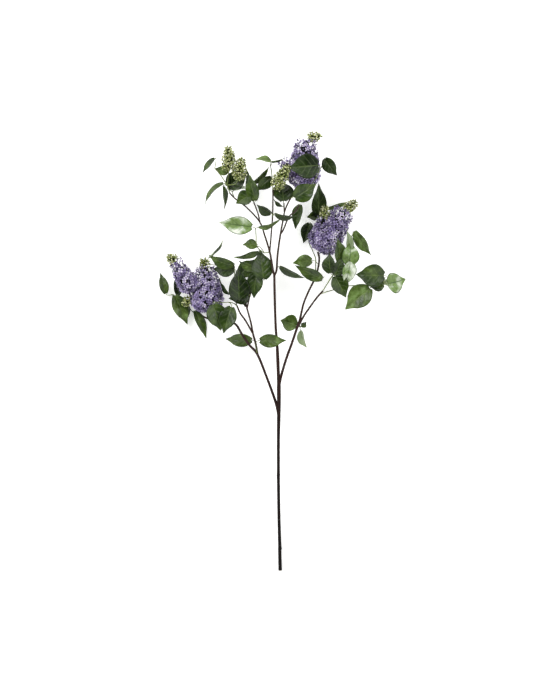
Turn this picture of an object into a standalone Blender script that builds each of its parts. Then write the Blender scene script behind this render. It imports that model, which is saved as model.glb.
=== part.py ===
"""A cut stem of lilac that lies on a flat surface, with its flower heads, bud tips and leafy shoots.

One unit is a metre. The layout below is in millimetres from the middle of the cut foot:
X to the right, Y along the stem towards its top, Z up from the surface that it lies on.
"""

import math
import random
from collections import namedtuple
from functools import partial

import bmesh
import bpy
from mathutils import Matrix, Vector

MM = 0.001
UP = Vector((0, 0, 1))

# The middle of the whole stem's outline lies here, and is the origin of the finished part.
MIDDLE = Vector((5.3, 482.7, 0.0))

GAP = 0.3  # clear space between two pieces that touch in the real plant
BLADE_THICKNESS = 0.8
BLADE_FOLD = math.radians(16)  # how far each half of a blade rises from the midrib
BLADE_LOBE = 0.045  # how far the two lobes at the foot of a blade reach back, in blade lengths
BLADE_STATIONS = (0.0, 0.1, 0.32, 0.6, 0.86, 1.0)
SMALL_BLADE_WIDTH = 37  # a blade narrower than this has fewer stations
SMALL_BLADE_STATIONS = (0.0, 0.14, 0.42, 0.78, 1.0)
PETIOLE_RADIUS = 0.85
PETIOLE_END_RADIUS = 0.25  # where it runs out inside the blade
TWIG_RADIUS = 1.15
TWIG_END_RADIUS = 0.95
FLORET_WIDTH = 19.5
ROOT_DEPTH = 0.62  # how far from the surface to the axis a floret is rooted
PETAL_NOTCH = 0.55  # how far out the rim lies between two petals, in petal lengths
PETAL_LIFT = 0.03  # how far the petal tips rise and the notches sink, in floret widths
EYE_DEPTH = 0.13  # how far the middle of a floret sinks, in floret widths
FULLEST = 0.25  # where along its axis a panicle is widest
TIP_TAPER = 0.46  # how much narrower it is at its top
CORE_SHARE = 0.66  # the solid inside a panicle, in panicle radii
GOLDEN_ANGLE = math.pi * (3 - math.sqrt(5))
SPIRAL_STEPS = 200
BUD_DEPTH = 0.82  # how much of the way from the axis to the surface a bud takes
BUD_RADIUS = 2.9
BUD_WAIST = 0.62  # where along its length a bud is fattest
BUD_CORE_SHARE = 0.5
SMALLEST_PIECE = 4.0  # a scrap of a cut shape that is shorter than this is dropped

WELD = 1e-6
AXIS_NEAR = 1e-4  # a point nearer the axis than this lies on it
FLAT_ANGLE = math.radians(0.3)

STEM_SIDES = 8
BRANCH_SIDES = 6
TWIG_SIDES = 4
STEM_RADIUS = 3.5  # a branch thicker than this somewhere is as round as the stem

# Woody branches, each from its root to its tip: X, Y, Z of the axis and the radius there.
BRANCHES = {
    "main_stem": (
        (1, 0, 3.8, 4.0),
        (0, 44, 6.2, 3.8),
        (0.5, 50, 6.8, 4.6),
        (0, 56, 7.4, 3.8),
        (-2, 130, 16, 3.6),
        (-3, 204, 25.6, 3.6),
        (-3, 211, 26.6, 4.4),
        (-3, 218, 27.6, 3.6),
        (-3, 288, 38, 3.6),
        (-2, 355, 48, 4.3),
        (-2, 403, 54, 4.5),
        (-2.5, 420, 56, 3.8),
        (-5, 482, 63.5, 3.6),
        (-6, 500, 65.5, 3.0),
        (-9, 540, 70, 2.8),
        (-11, 601, 78, 2.7),
        (-12, 653, 85, 2.6),
    ),
    "left_branch": (
        (-3, 359, 48, 3.4),
        (-12, 372, 50, 3.1),
        (-28, 426, 52, 2.9),
        (-49, 478, 53, 2.8),
        (-67, 499, 52, 2.7),
        (-83, 522, 50, 2.7),
        (-99, 546, 46, 2.4),
        (-128, 552, 38, 2.3),
        (-151, 561, 33, 2.2),
    ),
    "left_end_twig": (
        (-128, 552, 38, 2.1),
        (-150, 555, 14, 2.0),
        (-170, 563, 7, 1.9),
        (-185, 580, 6, 1.8),
        (-192, 598, 12, 1.8),
        (-200, 613, 42, 1.8),
    ),
    "left_upper_twig": (
        (-49, 478, 53, 2.5),
        (-53, 502, 55, 2.4),
        (-59, 524, 57, 2.3),
        (-64, 550, 59, 2.0),
        (-72, 579, 60, 1.9),
        (-77, 603, 60, 1.8),
    ),
    "left_inner_twig": (
        (-72, 579, 60, 1.7),
        (-67, 603, 63, 1.7),
        (-62, 627, 66, 1.6),
    ),
    "left_leafy_twig": (
        (-59, 524, 57, 2.0),
        (-75, 552, 58, 2.0),
        (-87, 569, 58, 1.9),
        (-95, 587, 58, 1.8),
    ),
    "left_top_branch": (
        (-12, 651, 85, 2.5),
        (-15, 664, 87, 2.4),
        (-22, 703, 91, 2.2),
        (-33, 739, 94, 1.9),
        (-44, 769, 96, 1.8),
        (-73, 801, 93, 1.7),
        (-100, 822, 88, 1.6),
        (-110, 833, 86, 1.6),
    ),
    "inner_top_twig": (
        (-43, 765, 96, 1.7),
        (-48, 788, 98, 1.6),
        (-57, 812, 99, 1.6),
    ),
    "centre_thin_twig": (
        (-22, 703, 91, 1.7),
        (-19, 739, 95, 1.6),
        (-16, 778, 99, 1.6),
        (-15, 822, 102, 1.6),
        (-15, 840, 103, 1.6),
    ),
    "top_branch": (
        (-12, 651, 85, 2.4),
        (-7, 664, 87, 2.3),
        (-5, 695, 90, 2.2),
        (1, 739, 95, 2.0),
        (7, 772, 99, 1.8),
        (12, 796, 101, 1.7),
        (24, 821, 100, 1.7),
        (36, 836, 92, 1.7),
        (44, 843, 86, 1.7),
    ),
    "top_thin_twig": (
        (10, 788, 100.5, 1.6),
        (9, 810, 103, 1.5),
    ),
    "top_right_twig": (
        (2, 743, 95, 1.8),
        (8, 752, 96, 1.7),
        (20, 780, 97, 1.6),
        (34, 792, 97, 1.6),
        (42, 805, 96, 1.5),
    ),
    "right_branch": (
        (-2, 405, 54, 3.2),
        (2, 426, 57, 3.0),
        (7, 445, 59, 2.9),
        (15, 471, 61, 2.8),
        (27, 504, 64, 2.8),
        (37, 534, 66, 2.8),
        (44, 554, 66, 2.7),
        (52, 589, 65, 2.3),
        (63, 616, 62, 2.2),
        (77, 645, 57, 2.2),
        (84, 667, 52, 2.2),
        (87, 689, 46, 2.2),
        (84, 704, 40, 2.2),
    ),
    "right_outer_branch": (
        (40, 539, 66, 2.4),
        (47, 552, 68, 2.3),
        (55, 566, 70, 2.2),
        (71, 589, 72, 2.1),
        (83, 605, 73, 2.1),
        (95, 618, 74, 2.0),
    ),
}

# A leaf: where its stalk leaves the twig, the foot and tip of its blade, the blade's width, its
# roll in degrees, which turns its upper face to the right of the way it points, and its arch as
# a share of its length.
Leaf = namedtuple("Leaf", "joint base tip width roll arch")

# A leafy shoot: its green twigs, each a run of points on the axis, and its leaves.
SHOOTS = {
    "left_end_shoot": (
        (((-193, 600, 16), (-206, 604, 21), (-222, 603, 25), (-239, 610, 25)),),
        (
            Leaf((-239, 610, 25), (-252, 613, 27), (-264, 659, 24), 22, 10, 0.04),
            Leaf((-239, 610, 25), (-232, 608, 27), (-204, 544, 18), 36, -12, 0.05),
            Leaf((-222, 603, 25), (-225, 609, 22), (-230, 653, 14), 22, 25, 0.03),
        ),
    ),
    "left_low_shoot": (
        (((-178, 572, 6.5), (-186, 568, 9), (-194, 574, 9), (-200, 582, 8)),),
        (
            Leaf((-200, 582, 8), (-203, 590, 9), (-206, 550, 5), 20, 30, 0.04),
            Leaf((-186, 568, 9), (-188, 574, 13), (-162, 512, 7), 26, -32, 0.05),
        ),
    ),
    "round_leaf_shoot": (
        (((-93, 583, 58), (-100, 590, 64), (-112, 593, 66), (-128, 592, 66)),),
        (
            Leaf((-128, 592, 66), (-147, 588, 68), (-129, 530, 60), 48, -10, 0.05),
            Leaf((-112, 593, 66), (-106, 582, 68), (-124, 524, 64), 42, 12, 0.05),
        ),
    ),
    "low_left_leaf": (
        (),
        (Leaf((-53, 504, 55), (-62, 510, 47), (-121, 512, 30), 32, -15, 0.03),),
    ),
    "low_front_leaf": (
        (),
        (Leaf((-48, 477, 53), (-43, 509, 70), (15, 509, 80), 32, 10, 0.03),),
    ),
    "right_fork_shoot": (
        (((37.5, 535, 66), (41, 538, 60), (45, 541, 59)),),
        (
            Leaf((41, 538, 60), (37, 542, 56), (1, 554, 50), 40, 10, 0.04),
            Leaf((45, 541, 59), (48, 539, 59), (59, 550, 58), 14, 20, 0.02),
            Leaf((45, 541, 59), (46, 530, 60), (59, 493, 46), 32, 125, 0.05),
        ),
    ),
    "left_crown_shoot": (
        (((-95, 587, 58), (-97, 596, 62), (-98, 618, 65), (-99, 649, 68), (-100, 671, 69)),),
        (
            Leaf((-100, 671, 69), (-101, 675, 70), (-157, 698, 72), 30, -30, 0.16),
            Leaf((-99, 649, 68), (-100, 665, 62), (-146, 666, 48), 40, 12, 0.05),
            Leaf((-100, 671, 69), (-155, 692, 74), (-121, 733, 84), 22, 78, 0.03),
            Leaf((-98, 618, 65), (-111, 612, 62), (-133, 647, 48), 24, -70, 0.06),
            Leaf((-98, 618, 65), (-90, 596, 70), (-92, 668, 80), 50, 10, 0.06),
            Leaf((-97, 596, 62), (-69, 609, 66), (-113, 601, 70), 36, -15, 0.05),
            Leaf((-99, 649, 68), (-89, 653, 57), (-54, 688, 50), 38, 10, 0.05),
            Leaf((-98, 618, 65), (-84, 634, 56), (-76, 582, 50), 36, -8, 0.05),
        ),
    ),
    "split_shoot": (
        (((-14, 657, 86), (-25, 660, 81), (-40, 662, 78)),),
        (
            Leaf((-25, 660, 81), (-36, 644, 80), (-44, 708, 78), 50, 8, 0.05),
            Leaf((-40, 662, 78), (-53, 667, 78), (-91, 684, 80), 24, -38, 0.12),
            Leaf((-40, 662, 78), (-51, 660, 74), (-57, 601, 66), 38, 10, 0.05),
        ),
    ),
    "centre_left_shoot": (
        (((-22, 703, 91), (-35, 702, 91), (-50, 715, 94), (-52, 740, 100), (-53, 755, 103)),),
        (
            Leaf((-35, 702, 91), (-50, 716, 92), (-82, 719, 90), 26, 25, 0.14),
            Leaf((-35, 702, 91), (-47, 705, 94), (-101, 691, 90), 26, -58, 0.05),
            Leaf((-53, 755, 103), (-46, 757, 106), (1, 774, 110), 22, 60, 0.08),
            Leaf((-53, 755, 103), (-62, 758, 103), (-134, 768, 99), 42, -6, 0.06),
        ),
    ),
    "top_left_shoot": (
        (
            ((-109.5, 832.5, 86), (-116, 850, 85), (-130, 872, 82), (-143, 887, 79)),
            ((-116, 850, 85), (-113, 868, 91), (-112, 881.5, 95.5)),
            ((-116, 850, 85), (-98, 852, 94), (-91.6, 861.5, 99.4)),
        ),
        (
            Leaf((-143, 887, 79), (-143, 908, 80), (-170, 876, 72), 22, 50, 0.04),
            Leaf((-130, 872, 82), (-112, 884, 77), (-144, 886, 73), 26, -30, 0.08),
            Leaf((-116, 850, 85), (-124, 853, 82), (-164, 807, 66), 24, 58, 0.14),
            Leaf((-116, 850, 85), (-125, 847, 80), (-122, 798, 66), 22, -58, 0.06),
        ),
    ),
    "top_left_inner_shoot": (
        (((-100, 822, 88), (-103, 836, 82), (-88, 851, 80)),),
        (
            Leaf((-103, 836, 82), (-114, 846, 77), (-70, 878, 78), 44, -12, 0.05),
            Leaf((-88, 851, 80), (-74, 850, 76), (-74, 888, 78), 22, 62, 0.04),
            Leaf((-103, 836, 82), (-101, 838, 84), (-68, 843, 84), 26, -64, 0.05),
        ),
    ),
    "inner_crown_shoot": (
        (((-56.5, 811, 99), (-58, 823, 102), (-56, 838, 104)),),
        (
            Leaf((-58, 823, 102), (-64, 829, 104), (-96, 809, 101), 36, 8, 0.05),
            Leaf((-56, 838, 104), (-54, 816, 104), (-66, 872, 110), 32, -16, 0.05),
            Leaf((-56, 838, 104), (-59, 854, 106), (-22, 890, 108), 24, 60, 0.04),
        ),
    ),
    "bud_shoot": (
        (
            ((-15, 839, 103), (-17, 869, 104), (-20, 891, 106)),
            ((-15.5, 842, 103.1), (-12, 843.5, 105.5)),
        ),
        (
            Leaf((-17, 869, 104), (-19, 867, 105), (-54, 837, 98), 30, -25, 0.05),
            Leaf((-20, 891, 106), (-20, 901, 108), (-54, 907, 108), 24, 52, 0.06),
            Leaf((-20, 891, 106), (-18, 901, 108), (10, 908, 104), 18, 76, 0.03),
        ),
    ),
    "centre_pair_shoot": (
        (((-15.9, 781, 99.2), (-14, 784, 109)),),
        (
            Leaf((-14, 784, 109), (-19, 787, 111), (-51, 807, 113), 30, -48, 0.05),
            Leaf((-14, 784, 109), (-10, 787, 112), (35, 781, 112), 24, 55, 0.14),
        ),
    ),
    "top_stem_leaf": (
        (),
        (Leaf((9.4, 801, 102), (6, 803, 106), (-14, 818, 110), 18, -62, 0.04),),
    ),
    "top_front_shoot": (
        (((24, 821, 100), (38, 828, 108), (62, 842, 114), (80, 866, 118), (87, 884, 120)),),
        (
            Leaf((87, 884, 120), (84, 892, 122), (18, 886, 127), 58, 0, 0.05),
            Leaf((38, 828, 108), (33, 822, 107), (80, 852, 113), 44, 14, 0.05),
        ),
    ),
    "top_low_leaf": (
        (),
        (Leaf((9, 809.5, 103), (8, 814, 101), (4, 860, 72), 50, 5, 0.04),),
    ),
    "top_back_shoot": (
        (
            (
                (36, 836, 92),
                (48, 838, 62),
                (60, 850, 24),
                (72, 866, 0.6),
                (88, 886, 20),
                (96, 899, 42),
                (98, 907, 54),
            ),
        ),
        (Leaf((97.6, 905.4, 51.6), (99, 909, 59), (126, 872, 54), 32, 16, 0.06),),
    ),
    "top_right_leaf": (
        (),
        (Leaf((42, 805, 96), (45, 806, 89), (34, 753, 82), 28, 30, 0.05),),
    ),
    "right_branch_leaf_high": (
        (),
        (Leaf((85.3, 675, 50), (70, 685, 60), (28, 679, 66), 30, 10, 0.06),),
    ),
    "right_branch_leaf_low": (
        (),
        (Leaf((78, 649, 56), (93, 645, 62), (33, 674, 78), 30, -22, 0.04),),
    ),
    "centre_low_leaf": (
        (),
        (Leaf((-6.8, 668, 87.4), (1, 671, 91), (55, 645, 86), 26, 52, 0.04),),
    ),
    "right_back_shoot": (
        (
            (
                (78.5, 649, 56),
                (79, 670, 47),
                (79, 690, 34),
                (72, 709, 12),
                (64, 729, 6),
                (72, 752, 6),
                (84, 776, 12),
            ),
        ),
        (
            Leaf((84, 776, 12), (84, 784, 18), (86, 856, 42), 36, 15, 0.05),
            Leaf((72, 752, 6), (66, 768, 8), (52, 724, 5), 31.5, -4, 0.04),
            Leaf((84, 776, 12), (82, 784, 18), (60, 782, 26), 22, 10, 0.03),
            Leaf((84, 776, 12), (103, 802, 13), (154, 818, 11), 22, 60, 0.03),
        ),
    ),
    "right_inner_shoot": (
        (
            (
                (94, 617, 74),
                (106, 636, 76),
                (117, 653, 77),
                (130, 673, 76),
                (142, 702, 71),
                (153, 728, 65),
                (162, 745, 60),
            ),
        ),
        (
            Leaf((117, 653, 77), (112, 657, 78), (110, 702, 76), 36, -30, 0.08),
            Leaf((130, 673, 76), (130, 680, 79), (127, 734, 88), 36, 40, 0.05),
            Leaf((117, 653, 77), (122, 652, 78), (137, 692, 82), 32, 15, 0.04),
            Leaf((130, 673, 76), (152, 674, 74), (156, 728, 74), 42, 14, 0.06),
            Leaf((153, 728, 65), (151, 708, 72), (149, 750, 80), 30, 125, 0.04),
            Leaf((130, 673, 76), (155, 682, 76), (142, 628, 66), 36, -26, 0.05),
            Leaf((162, 745, 60), (166, 749, 60), (202, 696, 50), 30, 32, 0.05),
            Leaf((106, 636, 76), (121, 650, 75), (146, 603, 68), 42, -15, 0.04),
        ),
    ),
    "right_outer_shoot": (
        (
            (
                (88, 610.5, 73.4),
                (100, 615, 68),
                (117, 620, 62),
                (143, 628, 58),
                (167, 630, 58),
                (198, 631, 62),
                (222, 638, 64),
                (233, 636, 65),
            ),
        ),
        (
            Leaf((167, 630, 58), (198, 624, 65), (144, 577, 56), 54, 8, 0.06),
            Leaf((198, 631, 62), (229, 652, 70), (167, 654, 74), 54, -8, 0.06),
            Leaf((222, 638, 64), (229, 631, 66), (199, 626, 58), 26, 0, 0.05),
            Leaf((222, 638, 64), (227, 640, 62), (245, 641, 56), 28, 128, 0.04),
            Leaf((233, 636, 65), (238, 634, 66), (277, 644, 73), 50, 12, 0.08),
        ),
    ),
}

# A flower head: its panicles, each with the foot and top of its axis and its greatest radius,
# and the number of florets on it.
Panicle = namedtuple("Panicle", "foot top radius florets")
HEADS = {
    "left_head": (
        Panicle((-161, 574, 36), (-163, 671, 32), 36, 30),
        Panicle((-193, 618, 46), (-231, 683, 44), 22, 14),
    ),
    "top_head": (
        Panicle((50, 846, 84), (58, 950, 84), 36, 29),
        Panicle((46, 856, 80), (4, 905, 80), 17, 8),
    ),
    "right_head": (
        Panicle((84, 709, 38), (144, 795, 30), 36, 31),
        Panicle((82, 716, 42), (97, 779, 50), 20, 7),
    ),
}

# Green buds that have not opened: foot and top of the axis, the cluster's radius and how many.
Cluster = namedtuple("Cluster", "foot top radius buds")
BUD_CLUSTERS = {
    "left_end_bud_tip": Cluster((-231.5, 684, 44), (-246, 694, 45), 11, 9),
    "left_head_bud_tip": Cluster((-163, 672, 32), (-170, 689, 33), 11, 10),
    "top_head_bud_tip": Cluster((62.5, 953.5, 85), (91, 958, 85), 11, 12),
    "right_head_bud_tip": Cluster((145, 796, 31), (169, 816, 34), 12, 12),
    "right_side_bud_tip": Cluster((97.3, 780, 50.5), (100, 805, 56), 10, 8),
    "top_left_bud_spike": Cluster((-112, 884, 96), (-112, 933, 98), 16, 18),
    "top_left_bud_spike_small": Cluster((-91, 864, 101), (-84, 908, 104), 15, 15),
    "centre_bud_spike": Cluster((-10, 845, 108), (18, 889, 124), 16, 18),
    "left_low_bud_spike": Cluster((-199, 600, 27), (-211, 589, 51), 9, 7),
}

LILAC_GREEN = (0.10, 0.16, 0.045, 1)
BARK_BROWN = (0.045, 0.024, 0.018, 1)
PETAL_LILAC = (0.30, 0.22, 0.56, 1)
BUD_GREEN = (0.30, 0.34, 0.12, 1)


def clear_scene():
    for leftover in list(bpy.data.objects):
        bpy.data.objects.remove(leftover)


def make_collection(name):
    group = bpy.data.collections.new(name)
    bpy.context.scene.collection.children.link(group)
    return group


def make_material(name, colour, roughness):
    made = bpy.data.materials.new(name)
    made.use_nodes = True
    shader = made.node_tree.nodes["Principled BSDF"]
    shader.inputs["Base Color"].default_value = colour
    shader.inputs["Roughness"].default_value = roughness
    shader.inputs["Metallic"].default_value = 0.0
    return made


def make_object(name, mesh):
    made = bpy.data.objects.new(name, mesh)
    bpy.context.scene.collection.objects.link(made)
    return made


def evaluated_mesh(thing):
    """The object's shape with its modifiers applied, in a mesh of its own."""
    graph = bpy.context.evaluated_depsgraph_get()
    return bpy.data.meshes.new_from_object(thing.evaluated_get(graph))


def remove_object(thing):
    data = thing.data
    bpy.data.objects.remove(thing)
    if isinstance(data, bpy.types.Mesh):
        bpy.data.meshes.remove(data)
    else:
        bpy.data.curves.remove(data)


def lengthened(points, extra):
    """The same run of axis points, longer by extra at both ends."""
    first, second = Vector(points[0][:3]), Vector(points[1][:3])
    last, before = Vector(points[-1][:3]), Vector(points[-2][:3])
    start = first + (first - second).normalized() * extra
    end = last + (last - before).normalized() * extra
    return ((*start, points[0][3]), *points[1:-1], (*end, points[-1][3]))


def tube(name, points, sides, grow=0.0):
    """A closed tube along points of X, Y, Z and radius. grow makes it that much thicker and longer."""
    if grow:
        points = lengthened(points, grow)
    curve = bpy.data.curves.new(name, "CURVE")
    curve.dimensions = "3D"
    curve.bevel_depth = MM
    curve.bevel_resolution = (sides - 4) // 2
    curve.use_fill_caps = True
    run = curve.splines.new("POLY")
    run.points.add(len(points) - 1)
    for point, (x, y, z, radius) in zip(run.points, points):
        point.co = ((x - MIDDLE.x) * MM, (y - MIDDLE.y) * MM, z * MM, 1)
        point.radius = radius + grow
    guide = make_object(name, curve)
    mesh = evaluated_mesh(guide)
    remove_object(guide)
    weld(mesh)
    return make_object(name, mesh)


def weld(mesh, flatten=False):
    """Joins points that coincide and turns the faces outwards. flatten also drops needless points."""
    work = bmesh.new()
    work.from_mesh(mesh)
    bmesh.ops.remove_doubles(work, verts=work.verts, dist=WELD)
    if flatten:
        bmesh.ops.dissolve_limit(work, angle_limit=FLAT_ANGLE, verts=work.verts, edges=work.edges)
        bmesh.ops.triangulate(work, faces=work.faces)
    bmesh.ops.recalc_face_normals(work, faces=work.faces)
    work.to_mesh(mesh)
    work.free()


def to_world(point):
    """A point of the layout, in metres from the origin of the part."""
    return (Vector(point) - MIDDLE) * MM


def blade_point(leaf, along, across):
    """A point of the blade: along runs from 0 at its foot to 1 at its tip, across from -1 to 1."""
    base, tip = Vector(leaf.base), Vector(leaf.tip)
    length = (tip - base).length
    forward = (tip - base).normalized()
    flat_up = (UP - forward * UP.dot(forward)).normalized()
    turn = Matrix.Rotation(math.radians(leaf.roll), 3, forward)
    upward = turn @ flat_up
    sideways = forward.cross(upward)
    half = leaf.width / 2 * math.sin(math.pi * min(1, 0.03 + 0.97 * along) ** 0.72)
    reach = length * (along - BLADE_LOBE * across**2 * (1 - along) ** 6)
    rise = abs(across) * half * math.sin(BLADE_FOLD) + leaf.arch * length * 4 * along * (1 - along)
    spread = across * half * math.cos(BLADE_FOLD)
    return base + forward * reach + sideways * spread + upward * rise


def blade(name, leaf):
    """The folded, arched blade of one leaf, pointed at its tip."""
    work = bmesh.new()
    rows = []
    stations = SMALL_BLADE_STATIONS if leaf.width < SMALL_BLADE_WIDTH else BLADE_STATIONS
    for along in stations[:-1]:
        rows.append([work.verts.new(to_world(blade_point(leaf, along, v))) for v in (-1, 0, 1)])
    tip = work.verts.new(to_world(blade_point(leaf, 1.0, 0)))
    for near, far in zip(rows, rows[1:]):
        for left in (0, 1):
            work.faces.new((near[left], near[left + 1], far[left + 1], far[left]))
    for left in (0, 1):
        work.faces.new((rows[-1][left], rows[-1][left + 1], tip))
    bmesh.ops.triangulate(work, faces=work.faces, quad_method="SHORT_EDGE")
    mesh = bpy.data.meshes.new(name)
    work.to_mesh(mesh)
    work.free()
    sheet = make_object(name, mesh)
    shell = sheet.modifiers.new("thickness", "SOLIDIFY")
    shell.thickness = BLADE_THICKNESS * MM
    shell.offset = 0
    solid = evaluated_mesh(sheet)
    remove_object(sheet)
    return make_object(name, solid)


def petiole(name, leaf):
    """The leaf's stalk, from the twig to the foot of the blade and a little way along its midrib."""
    joint, base = Vector(leaf.joint), Vector(leaf.base)
    forward = (Vector(leaf.tip) - base).normalized()
    bend = base - forward * (base - joint).length * 0.5
    points = []
    for step in (0, 0.6):
        point = joint.lerp(bend, step).lerp(bend.lerp(base, step), step)
        points.append((*point, PETIOLE_RADIUS))
    points.append((*blade_point(leaf, 0.06, 0), PETIOLE_END_RADIUS))
    return tube(name, points, TWIG_SIDES)


def drop_scraps(mesh):
    """Removes what is left loose beside the largest body, where it is only a scrap."""
    work = bmesh.new()
    work.from_mesh(mesh)
    unseen = set(work.verts)
    bodies = []
    while unseen:
        body, edge = set(), [unseen.pop()]
        while edge:
            point = edge.pop()
            body.add(point)
            near = {link.other_vert(point) for link in point.link_edges} & unseen
            unseen -= near
            edge.extend(near)
        bodies.append(body)
    bodies.sort(key=len, reverse=True)
    for body in bodies[1:]:
        reach = max((a.co - b.co).length for a in body for b in list(body)[:1])
        if reach < SMALLEST_PIECE * MM:
            bmesh.ops.delete(work, geom=list(body), context="VERTS")
    work.to_mesh(mesh)
    work.free()


def fuse(name, pieces, cutters, look):
    """Joins the pieces into one solid, cuts it clear of the cutters and gives it its material."""
    first, others = pieces[0], pieces[1:]
    repeats = make_collection(name + "_repeats")
    for piece in others:
        repeats.objects.link(piece)
        bpy.context.scene.collection.objects.unlink(piece)
    if others:
        join = first.modifiers.new("join", "BOOLEAN")
        join.operation = "UNION"
        join.operand_type = "COLLECTION"
        join.collection = repeats
        join.solver = "EXACT"
    for cutter in cutters:
        cut = first.modifiers.new("cut", "BOOLEAN")
        cut.operation = "DIFFERENCE"
        cut.object = cutter
        cut.solver = "EXACT"
    solid = evaluated_mesh(first)
    for piece in pieces:
        remove_object(piece)
    bpy.data.collections.remove(repeats)
    weld(solid, flatten=True)
    drop_scraps(solid)
    solid.materials.clear()
    solid.materials.append(look)
    made = make_object(name, solid)
    bpy.context.scene.collection.objects.unlink(made)
    PARTS.objects.link(made)
    return made


def wood(grow=0.0):
    """The stem's branches and knots. grow makes them thicker, for the space kept around them."""
    pieces = []
    for name, points in BRANCHES.items():
        thickest = max(radius for *_, radius in points)
        pieces.append(tube(name, points, STEM_SIDES if thickest > STEM_RADIUS else BRANCH_SIDES, grow))
    return pieces


def leafy_shoot(name, twigs, leaves, cutters, look):
    pieces = []
    for run in twigs:
        shrink = (TWIG_RADIUS - TWIG_END_RADIUS) / (len(run) - 1)
        points = [(*point, TWIG_RADIUS - shrink * step) for step, point in enumerate(run)]
        pieces.append(tube("twig", points, TWIG_SIDES))
    for leaf in leaves:
        pieces.append(petiole("petiole", leaf))
        pieces.append(blade("blade", leaf))
    return fuse(name, pieces, cutters, look)


def rounded_ends(share):
    """Nearly 1 in the middle of a spindle's axis, and small but not nothing at both ends."""
    return math.sin(math.pi * min(max(share, 0.02), 0.98))


def panicle_radius(panicle, share):
    """How wide a panicle is at a share of its height: round below, and slowly narrower above."""
    if share < FULLEST:
        return panicle.radius * math.sqrt(1 - ((FULLEST - share) / (FULLEST + 0.02)) ** 2)
    above = (share - FULLEST) / (1 - FULLEST)
    return panicle.radius * (1 - TIP_TAPER * above**1.3)


def panicle_core_radius(panicle, share):
    return CORE_SHARE * panicle_radius(panicle, share) * rounded_ends(share) ** 0.3


def cluster_radius(cluster, share):
    """How wide a cluster of buds is at a share of its height: slowly narrower towards its top."""
    return cluster.radius * (0.3 + 0.7 * math.sin(math.pi * (0.25 + 0.75 * share)))


def cluster_core_radius(cluster, share):
    return BUD_CORE_SHARE * cluster_radius(cluster, share) * rounded_ends(share) ** 0.5


def axis_frame(foot, top):
    """The axis of a head with two directions square to it."""
    along = (Vector(top) - Vector(foot)).normalized()
    side = along.cross(UP).normalized()
    return along, side, along.cross(side)


def spindle_core(name, foot, top, radius_at, slices, sides):
    """The solid inside a head: a turned body whose radius follows radius_at, pointed at both ends."""
    along, side, other = axis_frame(foot, top)
    height = (Vector(top) - Vector(foot)).length
    work = bmesh.new()
    bmesh.ops.create_uvsphere(work, u_segments=sides, v_segments=slices, radius=1)
    for point in work.verts:
        share = (point.co.z + 1) / 2
        ring = math.hypot(point.co.x, point.co.y)
        width = radius_at(share) if ring > AXIS_NEAR else 0
        turn = math.atan2(point.co.y, point.co.x)
        place = Vector(foot) + along * share * height
        place += (side * math.cos(turn) + other * math.sin(turn)) * width
        point.co = to_world(place)
    bmesh.ops.recalc_face_normals(work, faces=work.faces)
    mesh = bpy.data.meshes.new(name)
    work.to_mesh(mesh)
    work.free()
    return make_object(name, mesh)


def floret(name, root, outward, depth, width, spin):
    """One floret: a narrow throat that widens to four petals, pointed at the tips."""
    outward = outward.normalized()
    side = outward.orthogonal().normalized()
    other = outward.cross(side)
    work = bmesh.new()
    bmesh.ops.create_cone(
        work, cap_ends=True, cap_tris=True, segments=8, radius1=0, radius2=width / 2, depth=depth
    )
    eighth = math.pi / 4
    for point in work.verts:
        if math.hypot(point.co.x, point.co.y) < AXIS_NEAR:
            if point.co.z > 0:
                point.co.z -= width * EYE_DEPTH
        elif round(math.atan2(point.co.y, point.co.x) / eighth) % 2 == 0:
            point.co.z += width * PETAL_LIFT
        else:
            point.co.xy *= PETAL_NOTCH
            point.co.z -= width * PETAL_LIFT
    swing = Matrix.Rotation(spin, 3, "Z")
    for point in work.verts:
        x, y, z = swing @ point.co
        z += depth / 2
        point.co = to_world(root + side * x + other * y + outward * z)
    bmesh.ops.recalc_face_normals(work, faces=work.faces)
    mesh = bpy.data.meshes.new(name)
    work.to_mesh(mesh)
    work.free()
    return make_object(name, mesh)


def spiral_places(foot, top, radius_at, count, chance):
    """Even places over a head in a golden spiral: for each, a root on the axis, its surface point
    and the head's radius there."""
    along, side, other = axis_frame(foot, top)
    height = (Vector(top) - Vector(foot)).length
    areas = [radius_at((i + 0.5) / SPIRAL_STEPS) for i in range(SPIRAL_STEPS)]
    total = sum(areas)
    places = []
    for index in range(count):
        wanted = (index + 0.5) / count * total
        slot = 0
        while slot < SPIRAL_STEPS - 1 and wanted > areas[slot]:
            wanted -= areas[slot]
            slot += 1
        share = (slot + 0.5) / SPIRAL_STEPS
        turn = index * GOLDEN_ANGLE + chance.uniform(-0.12, 0.12)
        out = side * math.cos(turn) + other * math.sin(turn)
        radius = radius_at(share)
        surface = Vector(foot) + along * share * height + out * radius
        rooted = min(max(share - 0.45 * (share - 0.35), 0.16), 0.84)
        places.append((Vector(foot) + along * rooted * height, surface, radius))
    return places


def flower_head(name, panicles, cutters, look, seed):
    chance = random.Random(seed)
    pieces = []
    for head in panicles:
        outer, inner = partial(panicle_radius, head), partial(panicle_core_radius, head)
        pieces.append(spindle_core("core", head.foot, head.top, inner, 6, 8))
        for axis, surface, radius in spiral_places(head.foot, head.top, outer, head.florets, chance):
            width = FLORET_WIDTH * min(1, 0.5 + radius / 50) * chance.uniform(0.92, 1.06)
            out = surface - axis
            depth = out.length * ROOT_DEPTH * chance.uniform(0.95, 1.05)
            root = surface - out * ROOT_DEPTH
            pieces.append(floret("floret", root, out, depth, width, chance.uniform(0, math.pi)))
    return fuse(name, pieces, cutters, look)


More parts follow.
